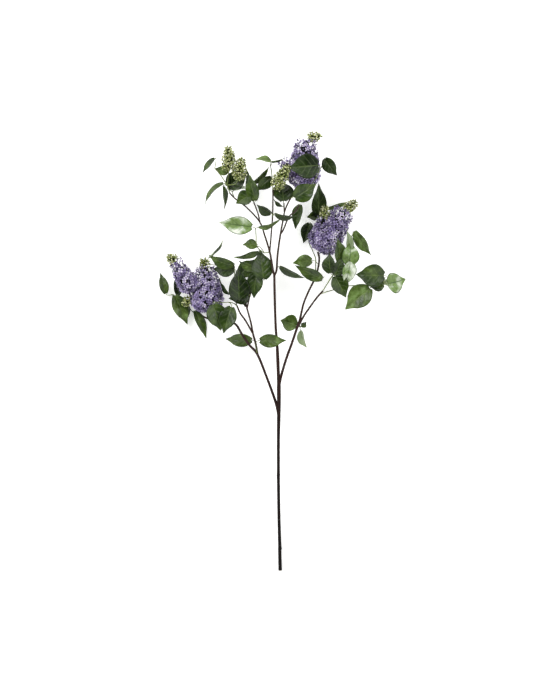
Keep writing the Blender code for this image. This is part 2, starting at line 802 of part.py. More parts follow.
def bud(name, root, outward, length, radius):
    """A closed bud: a four sided spindle, fattest near its top."""
    outward = outward.normalized()
    side = outward.orthogonal().normalized()
    other = outward.cross(side)
    work = bmesh.new()
    waist = [work.verts.new((c, s, 0.0)) for c, s in ((1, 0), (0, 1), (-1, 0), (0, -1))]
    low, high = work.verts.new((0, 0, -1)), work.verts.new((0, 0, 1))
    for a, b in zip(waist, waist[1:] + waist[:1]):
        work.faces.new((a, b, high))
        work.faces.new((b, a, low))
    for point in work.verts:
        x, y, z = point.co.x * radius, point.co.y * radius, point.co.z
        z = length * (BUD_WAIST + (1 - BUD_WAIST if z > 0 else BUD_WAIST) * z)
        point.co = to_world(root + side * x + other * y + outward * z)
    mesh = bpy.data.meshes.new(name)
    work.to_mesh(mesh)
    work.free()
    return make_object(name, mesh)


def bud_cluster(name, cluster, cutters, look, seed):
    chance = random.Random(seed)
    outer, inner = partial(cluster_radius, cluster), partial(cluster_core_radius, cluster)
    pieces = [spindle_core("core", cluster.foot, cluster.top, inner, 5, 6)]
    places = spiral_places(cluster.foot, cluster.top, outer, cluster.buds, chance)
    for axis, surface, radius in places:
        out = (surface - axis) * chance.uniform(0.95, 1.1)
        root = axis + out * (1 - BUD_DEPTH)
        pieces.append(bud("bud", root, out, out.length * BUD_DEPTH, BUD_RADIUS))
    return fuse(name, pieces, cutters, look)


def floor_block():
    """The solid under the surface, which flattens what would reach below it."""
    work = bmesh.new()
    bmesh.ops.create_cube(work, size=1)
    bmesh.ops.scale(work, verts=work.verts, vec=(2, 2, 0.2))
    bmesh.ops.translate(work, verts=work.verts, vec=(0, 0, -0.1))
    mesh = bpy.data.meshes.new("floor_block")
    work.to_mesh(mesh)
    work.free()
    return make_object("floor_block", mesh)


def hide_as_cutter(thing):
    thing.hide_render = True
    thing.display_type = "WIRE"
    bpy.context.scene.collection.objects.unlink(thing)
    CUTTERS.objects.link(thing)


def bark_space():
    """The wood grown by the gap, to cut the green pieces clear of the bark."""
    thick = fuse("bark_space", wood(GAP), (), BARK)
    PARTS.objects.unlink(thick)
    bpy.context.scene.collection.objects.link(thick)
    return thick


clear_scene()
PARTS = make_collection("lilac_stem")
CUTTERS = make_collection("cutters")
BARK = make_material("bark", BARK_BROWN, 0.7)
LEAF = make_material("leaf", LILAC_GREEN, 0.4)
PETAL = make_material("petal", PETAL_LILAC, 0.6)
BUDS = make_material("bud", BUD_GREEN, 0.6)

FLOOR = floor_block()
BARK_SPACE = bark_space()
fuse("woody_stem", wood(), (FLOOR,), BARK)
for shoot, (twigs, leaves) in SHOOTS.items():
    leafy_shoot(shoot, twigs, leaves, (BARK_SPACE, FLOOR), LEAF)
for number, (head_name, panicles) in enumerate(HEADS.items()):
    flower_head(head_name, panicles, (BARK_SPACE, FLOOR), PETAL, 11 + number)
for number, (cluster_name, cluster) in enumerate(BUD_CLUSTERS.items()):
    bud_cluster(cluster_name, cluster, (BARK_SPACE, FLOOR), BUDS, 31 + number)
hide_as_cutter(FLOOR)
hide_as_cutter(BARK_SPACE)
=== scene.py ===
# %% [markdown]
# # A cut stem of lilac on a pale surface
# The stem lies down, and the camera looks straight down on it. Everything is laid out in one
# drawing, in millimetres from the middle of the cut foot: X to the right, Y along the stem
# towards its top, Z up from the surface. The same layout gave the solid parts, so each finer
# piece below takes the place of one solid and keeps its form.

# %% Tools and the part's frame
import math
import random
from collections import namedtuple

import bmesh
import bpy
from mathutils import Matrix, Vector


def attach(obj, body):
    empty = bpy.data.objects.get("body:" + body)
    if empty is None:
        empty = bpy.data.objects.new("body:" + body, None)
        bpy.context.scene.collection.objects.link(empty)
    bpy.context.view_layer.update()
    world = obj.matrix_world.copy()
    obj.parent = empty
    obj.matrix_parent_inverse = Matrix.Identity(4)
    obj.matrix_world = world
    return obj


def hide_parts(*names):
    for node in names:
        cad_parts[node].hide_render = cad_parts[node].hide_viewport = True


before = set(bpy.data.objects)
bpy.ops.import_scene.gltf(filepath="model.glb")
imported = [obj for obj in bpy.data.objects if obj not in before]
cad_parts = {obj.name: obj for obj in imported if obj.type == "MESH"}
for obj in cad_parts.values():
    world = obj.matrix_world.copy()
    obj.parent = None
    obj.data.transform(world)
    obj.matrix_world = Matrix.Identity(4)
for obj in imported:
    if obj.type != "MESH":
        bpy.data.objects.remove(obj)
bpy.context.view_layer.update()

MM = 0.001
UP = Vector((0, 0, 1))
MIDDLE = Vector((5.3, 482.7, 0.0))  # the layout point that is the part's origin
scene = bpy.context.scene

# %% [markdown]
# ## The layout
# Woody branches run from root to tip, each point with its radius. A swelling in the radii is a
# knot or an old leaf scar.

# %% Woody branches
BRANCHES = {
    "main_stem": (
        (1, 0, 3.8, 4.0),
        (0, 44, 6.2, 3.8),
        (0.5, 50, 6.8, 4.6),
        (0, 56, 7.4, 3.8),
        (-2, 130, 16, 3.6),
        (-3, 204, 25.6, 3.6),
        (-3, 211, 26.6, 4.4),
        (-3, 218, 27.6, 3.6),
        (-3, 288, 38, 3.6),
        (-2, 355, 48, 4.3),
        (-2, 403, 54, 4.5),
        (-2.5, 420, 56, 3.8),
        (-5, 482, 63.5, 3.6),
        (-6, 500, 65.5, 3.0),
        (-9, 540, 70, 2.8),
        (-11, 601, 78, 2.7),
        (-12, 653, 85, 2.6),
    ),
    "left_branch": (
        (-2.5, 330, 44.6, 2.6),
        (-4, 352, 47.6, 3.3),
        (-10, 376, 50, 3.2),
        (-28, 426, 52, 2.9),
        (-49, 478, 53, 2.8),
        (-67, 499, 52, 2.7),
        (-83, 522, 50, 2.7),
        (-99, 546, 46, 2.4),
        (-128, 552, 38, 2.3),
        (-151, 561, 33, 2.2),
    ),
    "left_end_twig": (
        (-128, 552, 38, 2.1),
        (-150, 555, 14, 2.0),
        (-170, 563, 7, 1.9),
        (-185, 580, 6, 1.8),
        (-192, 598, 12, 1.8),
        (-200, 613, 42, 1.8),
    ),
    "left_upper_twig": (
        (-49, 478, 53, 2.5),
        (-53, 502, 55, 2.4),
        (-59, 524, 57, 2.3),
        (-64, 550, 59, 2.0),
        (-72, 579, 60, 1.9),
        (-77, 603, 60, 1.8),
    ),
    "left_inner_twig": (
        (-72, 579, 60, 1.7),
        (-67, 603, 63, 1.7),
        (-62, 627, 66, 1.6),
    ),
    "left_leafy_twig": (
        (-59, 524, 57, 2.0),
        (-75, 552, 58, 2.0),
        (-87, 569, 58, 1.9),
        (-95, 587, 58, 1.8),
    ),
    "left_top_branch": (
        (-12, 651, 85, 2.5),
        (-15, 664, 87, 2.4),
        (-22, 703, 91, 2.2),
        (-33, 739, 94, 1.9),
        (-44, 769, 96, 1.8),
        (-73, 801, 93, 1.7),
        (-100, 822, 88, 1.6),
        (-110, 833, 86, 1.6),
    ),
    "inner_top_twig": (
        (-43, 765, 96, 1.7),
        (-48, 788, 98, 1.6),
        (-57, 812, 99, 1.6),
    ),
    "centre_thin_twig": (
        (-22, 703, 91, 1.7),
        (-19, 739, 95, 1.6),
        (-16, 778, 99, 1.6),
        (-15, 822, 102, 1.6),
        (-15, 840, 103, 1.6),
    ),
    "top_branch": (
        (-12, 651, 85, 2.4),
        (-7, 664, 87, 2.3),
        (-5, 695, 90, 2.2),
        (1, 739, 95, 2.0),
        (7, 772, 99, 1.8),
        (12, 796, 101, 1.7),
        (24, 821, 100, 1.7),
        (36, 836, 92, 1.7),
        (44, 843, 86, 1.7),
    ),
    "top_thin_twig": (
        (10, 788, 100.5, 1.6),
        (9, 810, 103, 1.5),
    ),
    "top_right_twig": (
        (2, 743, 95, 1.8),
        (8, 752, 96, 1.7),
        (20, 780, 97, 1.6),
        (34, 792, 97, 1.6),
        (42, 805, 96, 1.5),
    ),
    "right_branch": (
        (-2, 405, 54, 3.2),
        (2, 426, 57, 3.0),
        (7, 445, 59, 2.9),
        (15, 471, 61, 2.8),
        (27, 504, 64, 2.8),
        (37, 534, 66, 2.8),
        (44, 554, 66, 2.7),
        (52, 589, 65, 2.3),
        (63, 616, 62, 2.2),
        (77, 645, 57, 2.2),
        (84, 667, 52, 2.2),
        (87, 689, 46, 2.2),
        (84, 704, 40, 2.2),
    ),
    "right_outer_branch": (
        (40, 539, 66, 2.4),
        (47, 552, 68, 2.3),
        (55, 566, 70, 2.2),
        (71, 589, 72, 2.1),
        (83, 605, 73, 2.1),
        (95, 618, 74, 2.0),
    ),
}
print(len(BRANCHES), "woody branches")

# %% [markdown]
# A leaf has the joint where its stalk leaves the twig, the foot and tip of its blade, its
# width, its roll in degrees, its arch as a share of its length, and its tone: 0 is a dark
# leaf, 1 a pale greyish one. The dark end is partly painted shade, on leaves that lie in the
# shade of others, and the pale end is partly a painted sheen, on glossy leaves.

# %% Leafy shoots
Leaf = namedtuple("Leaf", "joint base tip width roll arch tone")
SHOOTS = {
    "left_end_shoot": (
        (((-193, 600, 16), (-206, 604, 21), (-222, 603, 25), (-239, 610, 25)),),
        (
            Leaf((-239, 610, 25), (-252, 613, 27), (-264, 659, 24), 22, 10, 0.04, 0.4),
            Leaf((-239, 610, 25), (-232, 608, 27), (-204, 544, 18), 36, -12, 0.05, 0.5),
            Leaf((-222, 603, 25), (-225, 609, 22), (-230, 653, 14), 22, 25, 0.03, 0.12),
        ),
    ),
    "left_low_shoot": (
        (((-178, 572, 6.5), (-186, 568, 9), (-194, 574, 9), (-200, 582, 8)),),
        (
            Leaf((-200, 582, 8), (-203, 590, 9), (-206, 550, 5), 20, 30, 0.04, 0.15),
            Leaf((-186, 568, 9), (-188, 574, 13), (-162, 512, 7), 26, -32, 0.05, 0.4),
        ),
    ),
    "round_leaf_shoot": (
        (((-93, 583, 58), (-100, 590, 64), (-112, 593, 66), (-128, 592, 66)),),
        (
            Leaf((-128, 592, 66), (-147, 588, 68), (-129, 530, 60), 48, -10, 0.05, 0.4),
            Leaf((-112, 593, 66), (-106, 582, 68), (-124, 524, 64), 42, 12, 0.05, 0.25),
        ),
    ),
    "low_left_leaf": (
        (),
        (Leaf((-53, 504, 55), (-62, 510, 47), (-121, 512, 30), 32, -15, 0.03, 0.45),),
    ),
    "low_front_leaf": (
        (),
        (Leaf((-48, 477, 53), (-43, 509, 70), (15, 509, 80), 32, 10, 0.03, 0.42),),
    ),
    "right_fork_shoot": (
        (((37.5, 535, 66), (41, 538, 60), (45, 541, 59)),),
        (
            Leaf((41, 538, 60), (37, 542, 56), (1, 554, 50), 40, 10, 0.04, 0.45),
            Leaf((45, 541, 59), (48, 539, 59), (59, 550, 58), 14, 20, 0.02, 0.4),
            Leaf((45, 541, 59), (46, 530, 60), (59, 493, 46), 32, 125, 0.05, 0.55),
        ),
    ),
    "left_crown_shoot": (
        (((-95, 587, 58), (-97, 596, 62), (-98, 618, 65), (-99, 649, 68), (-100, 671, 69)),),
        (
            Leaf((-100, 671, 69), (-101, 675, 70), (-157, 698, 72), 30, -30, 0.16, 0.45),
            Leaf((-99, 649, 68), (-100, 665, 62), (-146, 666, 48), 40, 12, 0.05, 0.12),
            Leaf((-100, 671, 69), (-155, 692, 74), (-121, 733, 84), 22, 78, 0.03, 0.4),
            Leaf((-98, 618, 65), (-111, 612, 62), (-133, 647, 48), 24, -70, 0.06, 0.1),
            Leaf((-98, 618, 65), (-90, 596, 70), (-92, 668, 80), 50, 10, 0.06, 0.15),
            Leaf((-97, 596, 62), (-69, 609, 66), (-113, 601, 70), 36, -15, 0.05, 0.15),
            Leaf((-99, 649, 68), (-89, 653, 57), (-54, 688, 50), 38, 10, 0.05, 0.3),
            Leaf((-98, 618, 65), (-84, 634, 56), (-76, 582, 50), 36, -8, 0.05, 0.25),
        ),
    ),
    "split_shoot": (
        (((-14, 657, 86), (-25, 660, 81), (-40, 662, 78)),),
        (
            Leaf((-25, 660, 81), (-36, 644, 80), (-44, 708, 78), 50, 8, 0.05, 0.25),
            Leaf((-40, 662, 78), (-53, 667, 78), (-91, 684, 80), 24, -38, 0.12, 0.45),
            Leaf((-40, 662, 78), (-51, 660, 74), (-57, 601, 66), 38, 10, 0.05, 0.3),
        ),
    ),
    "centre_left_shoot": (
        (((-22, 703, 91), (-35, 702, 91), (-50, 715, 94), (-52, 740, 100), (-53, 755, 103)),),
        (
            Leaf((-35, 702, 91), (-50, 716, 92), (-82, 719, 90), 26, 25, 0.14, 0.55),
            Leaf((-35, 702, 91), (-47, 705, 94), (-101, 691, 90), 26, -58, 0.05, 0.45),
            Leaf((-53, 755, 103), (-46, 757, 106), (1, 774, 110), 22, 60, 0.08, 0.6),
            Leaf((-53, 755, 103), (-62, 758, 103), (-134, 768, 99), 42, -6, 0.06, 0.8),
        ),
    ),
    "top_left_shoot": (
        (
            ((-109.5, 832.5, 86), (-116, 850, 85), (-130, 872, 82), (-143, 887, 79)),
            ((-116, 850, 85), (-113, 868, 91), (-112, 881.5, 95.5)),
            ((-116, 850, 85), (-98, 852, 94), (-91.6, 861.5, 99.4)),
        ),
        (
            Leaf((-143, 887, 79), (-143, 908, 80), (-170, 876, 72), 22, 50, 0.04, 0.35),
            Leaf((-130, 872, 82), (-112, 884, 77), (-144, 886, 73), 26, -30, 0.08, 0.45),
            Leaf((-116, 850, 85), (-124, 853, 82), (-164, 807, 66), 24, 58, 0.14, 0.4),
            Leaf((-116, 850, 85), (-125, 847, 80), (-122, 798, 66), 22, -58, 0.06, 0.35),
        ),
    ),
    "top_left_inner_shoot": (
        (((-100, 822, 88), (-103, 836, 82), (-88, 851, 80)),),
        (
            Leaf((-103, 836, 82), (-114, 846, 77), (-70, 878, 78), 44, -12, 0.05, 0.15),
            Leaf((-88, 851, 80), (-74, 850, 76), (-74, 888, 78), 22, 62, 0.04, 0.4),
            Leaf((-103, 836, 82), (-101, 838, 84), (-68, 843, 84), 26, -64, 0.05, 0.8),
        ),
    ),
    "inner_crown_shoot": (
        (((-56.5, 811, 99), (-58, 823, 102), (-56, 838, 104)),),
        (
            Leaf((-58, 823, 102), (-64, 829, 104), (-96, 809, 101), 36, 8, 0.05, 0.35),
            Leaf((-56, 838, 104), (-54, 816, 104), (-66, 872, 110), 32, -16, 0.05, 0.4),
            Leaf((-56, 838, 104), (-59, 854, 106), (-22, 890, 108), 24, 60, 0.04, 0.3),
        ),
    ),
    "bud_shoot": (
        (
            ((-15, 839, 103), (-17, 869, 104), (-20, 891, 106)),
            ((-15.5, 842, 103.1), (-12, 843.5, 105.5)),
        ),
        (
            Leaf((-17, 869, 104), (-19, 867, 105), (-54, 837, 98), 30, -25, 0.05, 0.35),
            Leaf((-20, 891, 106), (-20, 901, 108), (-54, 907, 108), 24, 52, 0.06, 0.6),
            Leaf((-20, 891, 106), (-18, 901, 108), (10, 908, 104), 18, 76, 0.03, 0.3),
        ),
    ),
    "centre_pair_shoot": (
        (((-15.9, 781, 99.2), (-14, 784, 109)),),
        (
            Leaf((-14, 784, 109), (-19, 787, 111), (-51, 807, 113), 30, -48, 0.05, 0.15),
            Leaf((-14, 784, 109), (-10, 787, 112), (35, 781, 112), 24, 55, 0.14, 0.15),
        ),
    ),
    "top_stem_leaf": (
        (),
        (Leaf((9.4, 801, 102), (6, 803, 106), (-14, 818, 110), 18, -62, 0.04, 0.3),),
    ),
    "top_front_shoot": (
        (((24, 821, 100), (38, 828, 108), (62, 842, 114), (80, 866, 118), (87, 884, 120)),),
        (
            Leaf((87, 884, 120), (84, 892, 122), (18, 886, 127), 58, 0, 0.05, 0.08),
            Leaf((38, 828, 108), (33, 822, 107), (80, 852, 113), 44, 14, 0.05, 0.38),
        ),
    ),
    "top_low_leaf": (
        (),
        (Leaf((9, 809.5, 103), (8, 814, 101), (4, 860, 72), 50, 5, 0.04, 0.2),),
    ),
    "top_back_shoot": (
        (
            (
                (36, 836, 92),
                (48, 838, 62),
                (60, 850, 24),
                (72, 866, 0.6),
                (88, 886, 20),
                (96, 899, 42),
                (98, 907, 54),
            ),
        ),
        (Leaf((97.6, 905.4, 51.6), (99, 909, 59), (126, 872, 54), 32, 16, 0.06, 0.3),),
    ),
    "top_right_leaf": (
        (),
        (Leaf((42, 805, 96), (45, 806, 89), (34, 753, 82), 28, 30, 0.05, 0.35),),
    ),
    "right_branch_leaf_high": (
        (),
        (Leaf((85.3, 675, 50), (70, 685, 60), (28, 679, 66), 30, 10, 0.06, 0.5),),
    ),
    "right_branch_leaf_low": (
        (),
        (Leaf((78, 649, 56), (93, 645, 62), (33, 674, 78), 30, -22, 0.04, 0.4),),
    ),
    "centre_low_leaf": (
        (),
        (Leaf((-6.8, 668, 87.4), (1, 671, 91), (55, 645, 86), 26, 52, 0.04, 0.3),),
    ),
    "right_back_shoot": (
        (
            (
                (78.5, 649, 56),
                (79, 670, 47),
                (79, 690, 34),
                (72, 709, 12),
                (64, 729, 6),
                (72, 752, 6),
                (84, 776, 12),
            ),
        ),
        (
            Leaf((84, 776, 12), (84, 784, 18), (86, 856, 42), 36, 15, 0.05, 0.22),
            Leaf((72, 752, 6), (66, 768, 8), (52, 724, 5), 31.5, -4, 0.04, 0.25),
            Leaf((84, 776, 12), (82, 784, 18), (60, 782, 26), 22, 10, 0.03, 0.4),
            Leaf((84, 776, 12), (103, 802, 13), (154, 818, 11), 22, 60, 0.03, 0.6),
        ),
    ),
    "right_inner_shoot": (
        (
            (
                (94, 617, 74),
                (106, 636, 76),
                (117, 653, 77),
                (130, 673, 76),
                (142, 702, 71),
                (153, 728, 65),
                (162, 745, 60),
            ),
        ),
        (
            Leaf((117, 653, 77), (112, 657, 78), (110, 702, 76), 36, -30, 0.08, 0.2),
            Leaf((130, 673, 76), (130, 680, 79), (127, 734, 88), 36, 40, 0.05, 0.4),
            Leaf((117, 653, 77), (122, 652, 78), (137, 692, 82), 32, 15, 0.04, 0.25),
            Leaf((130, 673, 76), (152, 674, 74), (156, 728, 74), 42, 14, 0.06, 0.7),
            Leaf((153, 728, 65), (151, 708, 72), (149, 750, 80), 30, 125, 0.04, 0.82),
            Leaf((130, 673, 76), (155, 682, 76), (142, 628, 66), 36, -26, 0.05, 0.86),
            Leaf((162, 745, 60), (166, 749, 60), (202, 696, 50), 30, 32, 0.05, 0.5),
            Leaf((106, 636, 76), (121, 650, 75), (146, 603, 68), 42, -15, 0.04, 0.3),
        ),
    ),
    "right_outer_shoot": (
        (
            (
                (88, 610.5, 73.4),
                (100, 615, 68),
                (117, 620, 62),
                (143, 628, 58),
                (167, 630, 58),
                (198, 631, 62),
                (222, 638, 64),
                (233, 636, 65),
            ),
        ),
        (
            Leaf((167, 630, 58), (198, 624, 65), (144, 577, 56), 54, 8, 0.06, 0.55),
            Leaf((198, 631, 62), (229, 652, 70), (167, 654, 74), 54, -8, 0.06, 0.25),
            Leaf((222, 638, 64), (229, 631, 66), (199, 626, 58), 26, 0, 0.05, 0.3),
            Leaf((222, 638, 64), (227, 640, 62), (245, 641, 56), 28, 128, 0.04, 0.8),
            Leaf((233, 636, 65), (238, 634, 66), (277, 644, 73), 50, 12, 0.08, 0.76),
        ),
    ),
}
print(sum(len(leaves) for _, leaves in SHOOTS.values()), "leaves")

# %% [markdown]
# A lilac head is a panicle: a cone of small florets around an axis, widest near its foot. At
# its top the florets are still closed green buds.

# %% Flower heads and bud clusters
Panicle = namedtuple("Panicle", "foot top radius florets")
HEADS = {
    "left_head": (
        Panicle((-161, 574, 36), (-163, 671, 32), 36, 30),
        Panicle((-193, 618, 46), (-231, 683, 44), 22, 14),
    ),
    "top_head": (
        Panicle((50, 846, 84), (58, 950, 84), 36, 29),
        Panicle((46, 856, 80), (4, 905, 80), 17, 8),
    ),
    "right_head": (
        Panicle((84, 709, 38), (144, 795, 30), 36, 31),
        Panicle((82, 716, 42), (97, 779, 50), 20, 7),
    ),
}

Cluster = namedtuple("Cluster", "foot top radius buds")
BUD_CLUSTERS = {
    "left_end_bud_tip": Cluster((-231.5, 684, 44), (-246, 694, 45), 11, 9),
    "left_head_bud_tip": Cluster((-163, 672, 32), (-170, 689, 33), 11, 10),
    "top_head_bud_tip": Cluster((62.5, 953.5, 85), (91, 958, 85), 11, 12),
    "right_head_bud_tip": Cluster((145, 796, 31), (169, 816, 34), 12, 12),
    "right_side_bud_tip": Cluster((97.3, 780, 50.5), (100, 805, 56), 10, 8),
    "top_left_bud_spike": Cluster((-112, 884, 96), (-112, 933, 98), 16, 18),
    "top_left_bud_spike_small": Cluster((-91, 864, 101), (-84, 908, 104), 15, 15),
    "centre_bud_spike": Cluster((-10, 845, 108), (18, 889, 124), 16, 18),
    "left_low_bud_spike": Cluster((-199, 600, 27), (-211, 589, 51), 9, 7),
}
print(len(HEADS), "heads,", len(BUD_CLUSTERS), "bud clusters")

# %% [markdown]
# ## Small helpers
# Colours are written as the hex values that the eye sees, and one function turns them into the
# linear values that a shader needs. Another adds a shader node with its settings and links.


# %% Helpers for colours, nodes and pieces
def linear(part):
    """One channel of an sRGB colour, from 0 to 1, as the linear value that a shader needs."""
    return part / 12.92 if part <= 0.04045 else ((part + 0.055) / 1.055) ** 2.4


def colour(hex_code):
    """Linear red, green, blue and alpha of an sRGB hex colour."""
    parts = [int(hex_code[place : place + 2], 16) / 255 for place in (1, 3, 5)]
    return (*[linear(part) for part in parts], 1)


def new_material(name, roughness, ior=1.45):
    made = bpy.data.materials.new(name)
    made.use_nodes = True
    shader = made.node_tree.nodes["Principled BSDF"]
    shader.inputs["Roughness"].default_value = roughness
    shader.inputs["IOR"].default_value = ior
    return made, made.node_tree, shader


def add(tree, kind, inputs=None, **settings):
    """Adds a shader node. An input's value is a number, a colour or another node's output."""
    node = tree.nodes.new("ShaderNode" + kind)
    for name, value in settings.items():
        setattr(node, name, value)
    for name, value in (inputs or {}).items():
        if isinstance(value, bpy.types.NodeSocket):
            tree.links.new(value, node.inputs[name])
        else:
            node.inputs[name].default_value = value
    return node


def maths(tree, operation, first, second=0.0, third=0.0):
    return add(tree, "Math", {0: first, 1: second, 2: third}, operation=operation).outputs[0]


def remap(tree, value, low, high, low_to=0.0, high_to=1.0, **settings):
    """Takes low to low_to and high to high_to. What lies outside is held at those two."""
    steps = {0: value, 1: low, 2: high, 3: low_to, 4: high_to}
    return add(tree, "MapRange", steps, **settings).outputs[0]


def mix_colours(tree, share, first, second):
    node = add(tree, "Mix", {0: share, 6: first, 7: second}, data_type="RGBA")
    return node.outputs[2]


def ramp(tree, share, *stops):
    """A colour ramp with stops of position and hex colour."""
    node = add(tree, "ValToRGB", {0: share})
    elements = node.color_ramp.elements
    while len(elements) < len(stops):
        elements.new(0.5)
    for element, (position, hex_code) in zip(elements, stops):
        element.position = position
        element.color = colour(hex_code)
    return node.outputs[0]


def attribute(tree, name):
    return add(tree, "Attribute", attribute_name=name).outputs["Fac"]


def held(value):
    """The value, held between 0 and 1."""
    return min(max(value, 0), 1)


def to_world(point):
    """A point of the layout, in metres from the part's origin."""
    return (Vector(point) - MIDDLE) * MM


def place_piece(name, mesh, node, slot, *materials):
    """Puts a finished mesh in the scene, in place of a solid."""
    for material in materials:
        mesh.materials.append(material)
    piece = bpy.data.objects.new(name, mesh)
    scene.collection.objects.link(piece)
    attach(piece, "root")
    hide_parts(node)
    print(name, len(mesh.polygons), "faces")


def finished_mesh(name, work):
    """The bmesh as a smooth mesh. What would sink into the surface is pressed flat on it."""
    for point in work.verts:
        if point.co.z < 0:
            point.co.z = 0
    for face in work.faces:
        face.smooth = True
    mesh = bpy.data.meshes.new(name)
    work.to_mesh(mesh)
    work.free()
    return mesh


# %% [markdown]
# ## Materials
# Bark: a lilac stem is nearly black brown where it is old and reddish brown above, with pale
# pores and fine cracks along it. The colour follows the place along the stem, so the object's
# own coordinates drive it.

# %% Bark
BARK_STOPS = ((0.0, "#080303"), (0.3, "#1a0d0b"), (0.5, "#2e1a16"), (1.0, "#3a2f29"))
PORE_COLOUR = "#6d5a4e"
GRAIN_STRETCH = (700, 130, 700)  # fine across the stem and long along it
BARK, tree, shader = new_material("lilac_bark_rough_with_pores", 0.72)
shader.inputs["Specular IOR Level"].default_value = 0.2
place = add(tree, "TexCoord").outputs["Object"]
along_stem = add(tree, "SeparateXYZ", {0: place}).outputs["Y"]
height = maths(tree, "MULTIPLY_ADD", along_stem, 1.3, 0.5)
stretched = add(tree, "Mapping", {"Vector": place, "Scale": GRAIN_STRETCH}).outputs[0]
grain = add(tree, "TexNoise", {"Vector": stretched, "Scale": 1.0, "Detail": 3.0}).outputs[0]
pores = add(tree, "TexVoronoi", {"Vector": place, "Scale": 230.0}).outputs["Distance"]
pore_mask = remap(tree, pores, 0.10, 0.20, 1.0, 0.0)
along_tone = maths(tree, "MULTIPLY_ADD", maths(tree, "SUBTRACT", grain, 0.5), 0.9, height)
bark_colour = ramp(tree, along_tone, *BARK_STOPS)
pore_share = maths(tree, "MULTIPLY", pore_mask, 0.32)
bark_colour = mix_colours(tree, pore_share, bark_colour, colour(PORE_COLOUR))
tree.links.new(bark_colour, shader.inputs["Base Color"])
relief = maths(tree, "MULTIPLY_ADD", pore_mask, 0.6, grain)
bump = add(tree, "Bump", {"Height": relief, "Strength": 0.7, "Distance": 0.0004})
tree.links.new(bump.outputs[0], shader.inputs["Normal"])

CUT_WOOD, tree, shader = new_material("fresh_cut_wood_dry", 0.75)
place = add(tree, "TexCoord").outputs["Object"]
speckle = add(tree, "TexNoise", {"Vector": place, "Scale": 900.0, "Detail": 2.0}).outputs[0]
tree.links.new(ramp(tree, speckle, (0.3, "#a58f63"), (0.7, "#d6c69a")), shader.inputs["Base Color"])
print("bark and cut wood")

# %% [markdown]
# Leaf: lilac leaves are smooth and waxy above, so the light draws a soft sheen on them, and
# paler and duller below. The veins are drawn from the leaf's own map, which runs across it from
# 0 to 1 and along it from foot to tip. A side vein leaves the midrib and leans towards the tip.
# Veins are paler than a dark blade and darker than a pale one, and a pale blade has a dark rim.
# The pale end of the tone ramp, near white at its top, is partly a painted sheen, so on a pale
# blade the veins and the rim are painted dark where that painted sheen stops.
# A slow swell in the surface breaks up the sheen.

# %% Leaf, both faces
VEIN_PAIRS = 5.0
VEIN_SLANT = 1.5  # how far a side vein leans towards the tip, in spaces between veins
# A pale blade is partly a painted sheen. Its veins and rim are painted dark against it.
PALE_BLADE_VEIN = "#2f4a20"
PALE_BLADE_VEIN_SHARE = 0.74
PALE_FROM, PALE_TO = 0.5, 0.7  # the leaf's own tone, where a blade starts to be pale and is pale
SWELL = 9.0  # how high the blade swells and dips, next to the depth of a vein


def leaf_material(name, stops, vein_colour, vein_share, roughness, bump_height):
    made, tree, shader = new_material(name, roughness, 1.48)
    shader.inputs["Specular IOR Level"].default_value = 0.36
    flat = add(tree, "UVMap", uv_map="leaf_map").outputs[0]
    split = add(tree, "SeparateXYZ", {0: flat})
    across = maths(tree, "ABSOLUTE", maths(tree, "MULTIPLY_ADD", split.outputs["X"], 2.0, -1.0))
    along = split.outputs["Y"]
    leaning = maths(tree, "MULTIPLY", across, -VEIN_SLANT)
    phase = maths(tree, "MULTIPLY_ADD", along, VEIN_PAIRS, leaning)
    near_vein = maths(tree, "PINGPONG", phase, 0.5)
    vein = remap(tree, near_vein, 0.0, 0.13, 1.0, 0.0)
    fade = remap(tree, across, 0.55, 0.95, 1.0, 0.15)
    vein = maths(tree, "MULTIPLY", vein, fade)
    midrib = remap(tree, across, 0.025, 0.075, 1.0, 0.0)
    lines = maths(tree, "MAXIMUM", maths(tree, "MULTIPLY", vein, 0.5), midrib)
    rim = remap(tree, across, 0.84, 0.97)
    place = add(tree, "TexCoord").outputs["Object"]
    cloud = add(tree, "TexNoise", {"Vector": place, "Scale": 42.0, "Detail": 3.0}).outputs[0]
    fine = {"Vector": place, "Scale": 520.0}
    cells = add(tree, "TexVoronoi", fine, feature="DISTANCE_TO_EDGE").outputs[0]
    own_tone = attribute(tree, "tone")
    tone = maths(tree, "MULTIPLY_ADD", maths(tree, "SUBTRACT", cloud, 0.5), 1.1, own_tone)
    blade = ramp(tree, tone, *stops)
    # How pale the blade is painted, partly as a painted sheen, with dark veins and rim on it.
    pale = remap(tree, own_tone, PALE_FROM, PALE_TO)
    vein_share = remap(tree, pale, 0.0, 1.0, vein_share, PALE_BLADE_VEIN_SHARE)
    veins = mix_colours(tree, pale, colour(vein_colour), colour(PALE_BLADE_VEIN))
    drawn = maths(tree, "MAXIMUM", lines, maths(tree, "MULTIPLY", rim, pale))
    blade = mix_colours(tree, maths(tree, "MULTIPLY", drawn, vein_share), blade, veins)
    tree.links.new(blade, shader.inputs["Base Color"])
    net = remap(tree, cells, 0.0, 0.12)
    swell = add(tree, "TexNoise", {"Vector": place, "Scale": 50.0, "Detail": 0.0}).outputs[0]
    relief = maths(tree, "MULTIPLY_ADD", net, 0.18, maths(tree, "MULTIPLY", swell, SWELL))
    relief = maths(tree, "MULTIPLY_ADD", lines, -bump_height, relief)
    bump = add(tree, "Bump", {"Height": relief, "Strength": 0.8, "Distance": 0.0005})
    tree.links.new(bump.outputs[0], shader.inputs["Normal"])
    duller = maths(tree, "MULTIPLY_ADD", cloud, 0.3, roughness - 0.14)
    tree.links.new(duller, shader.inputs["Roughness"])
    return made


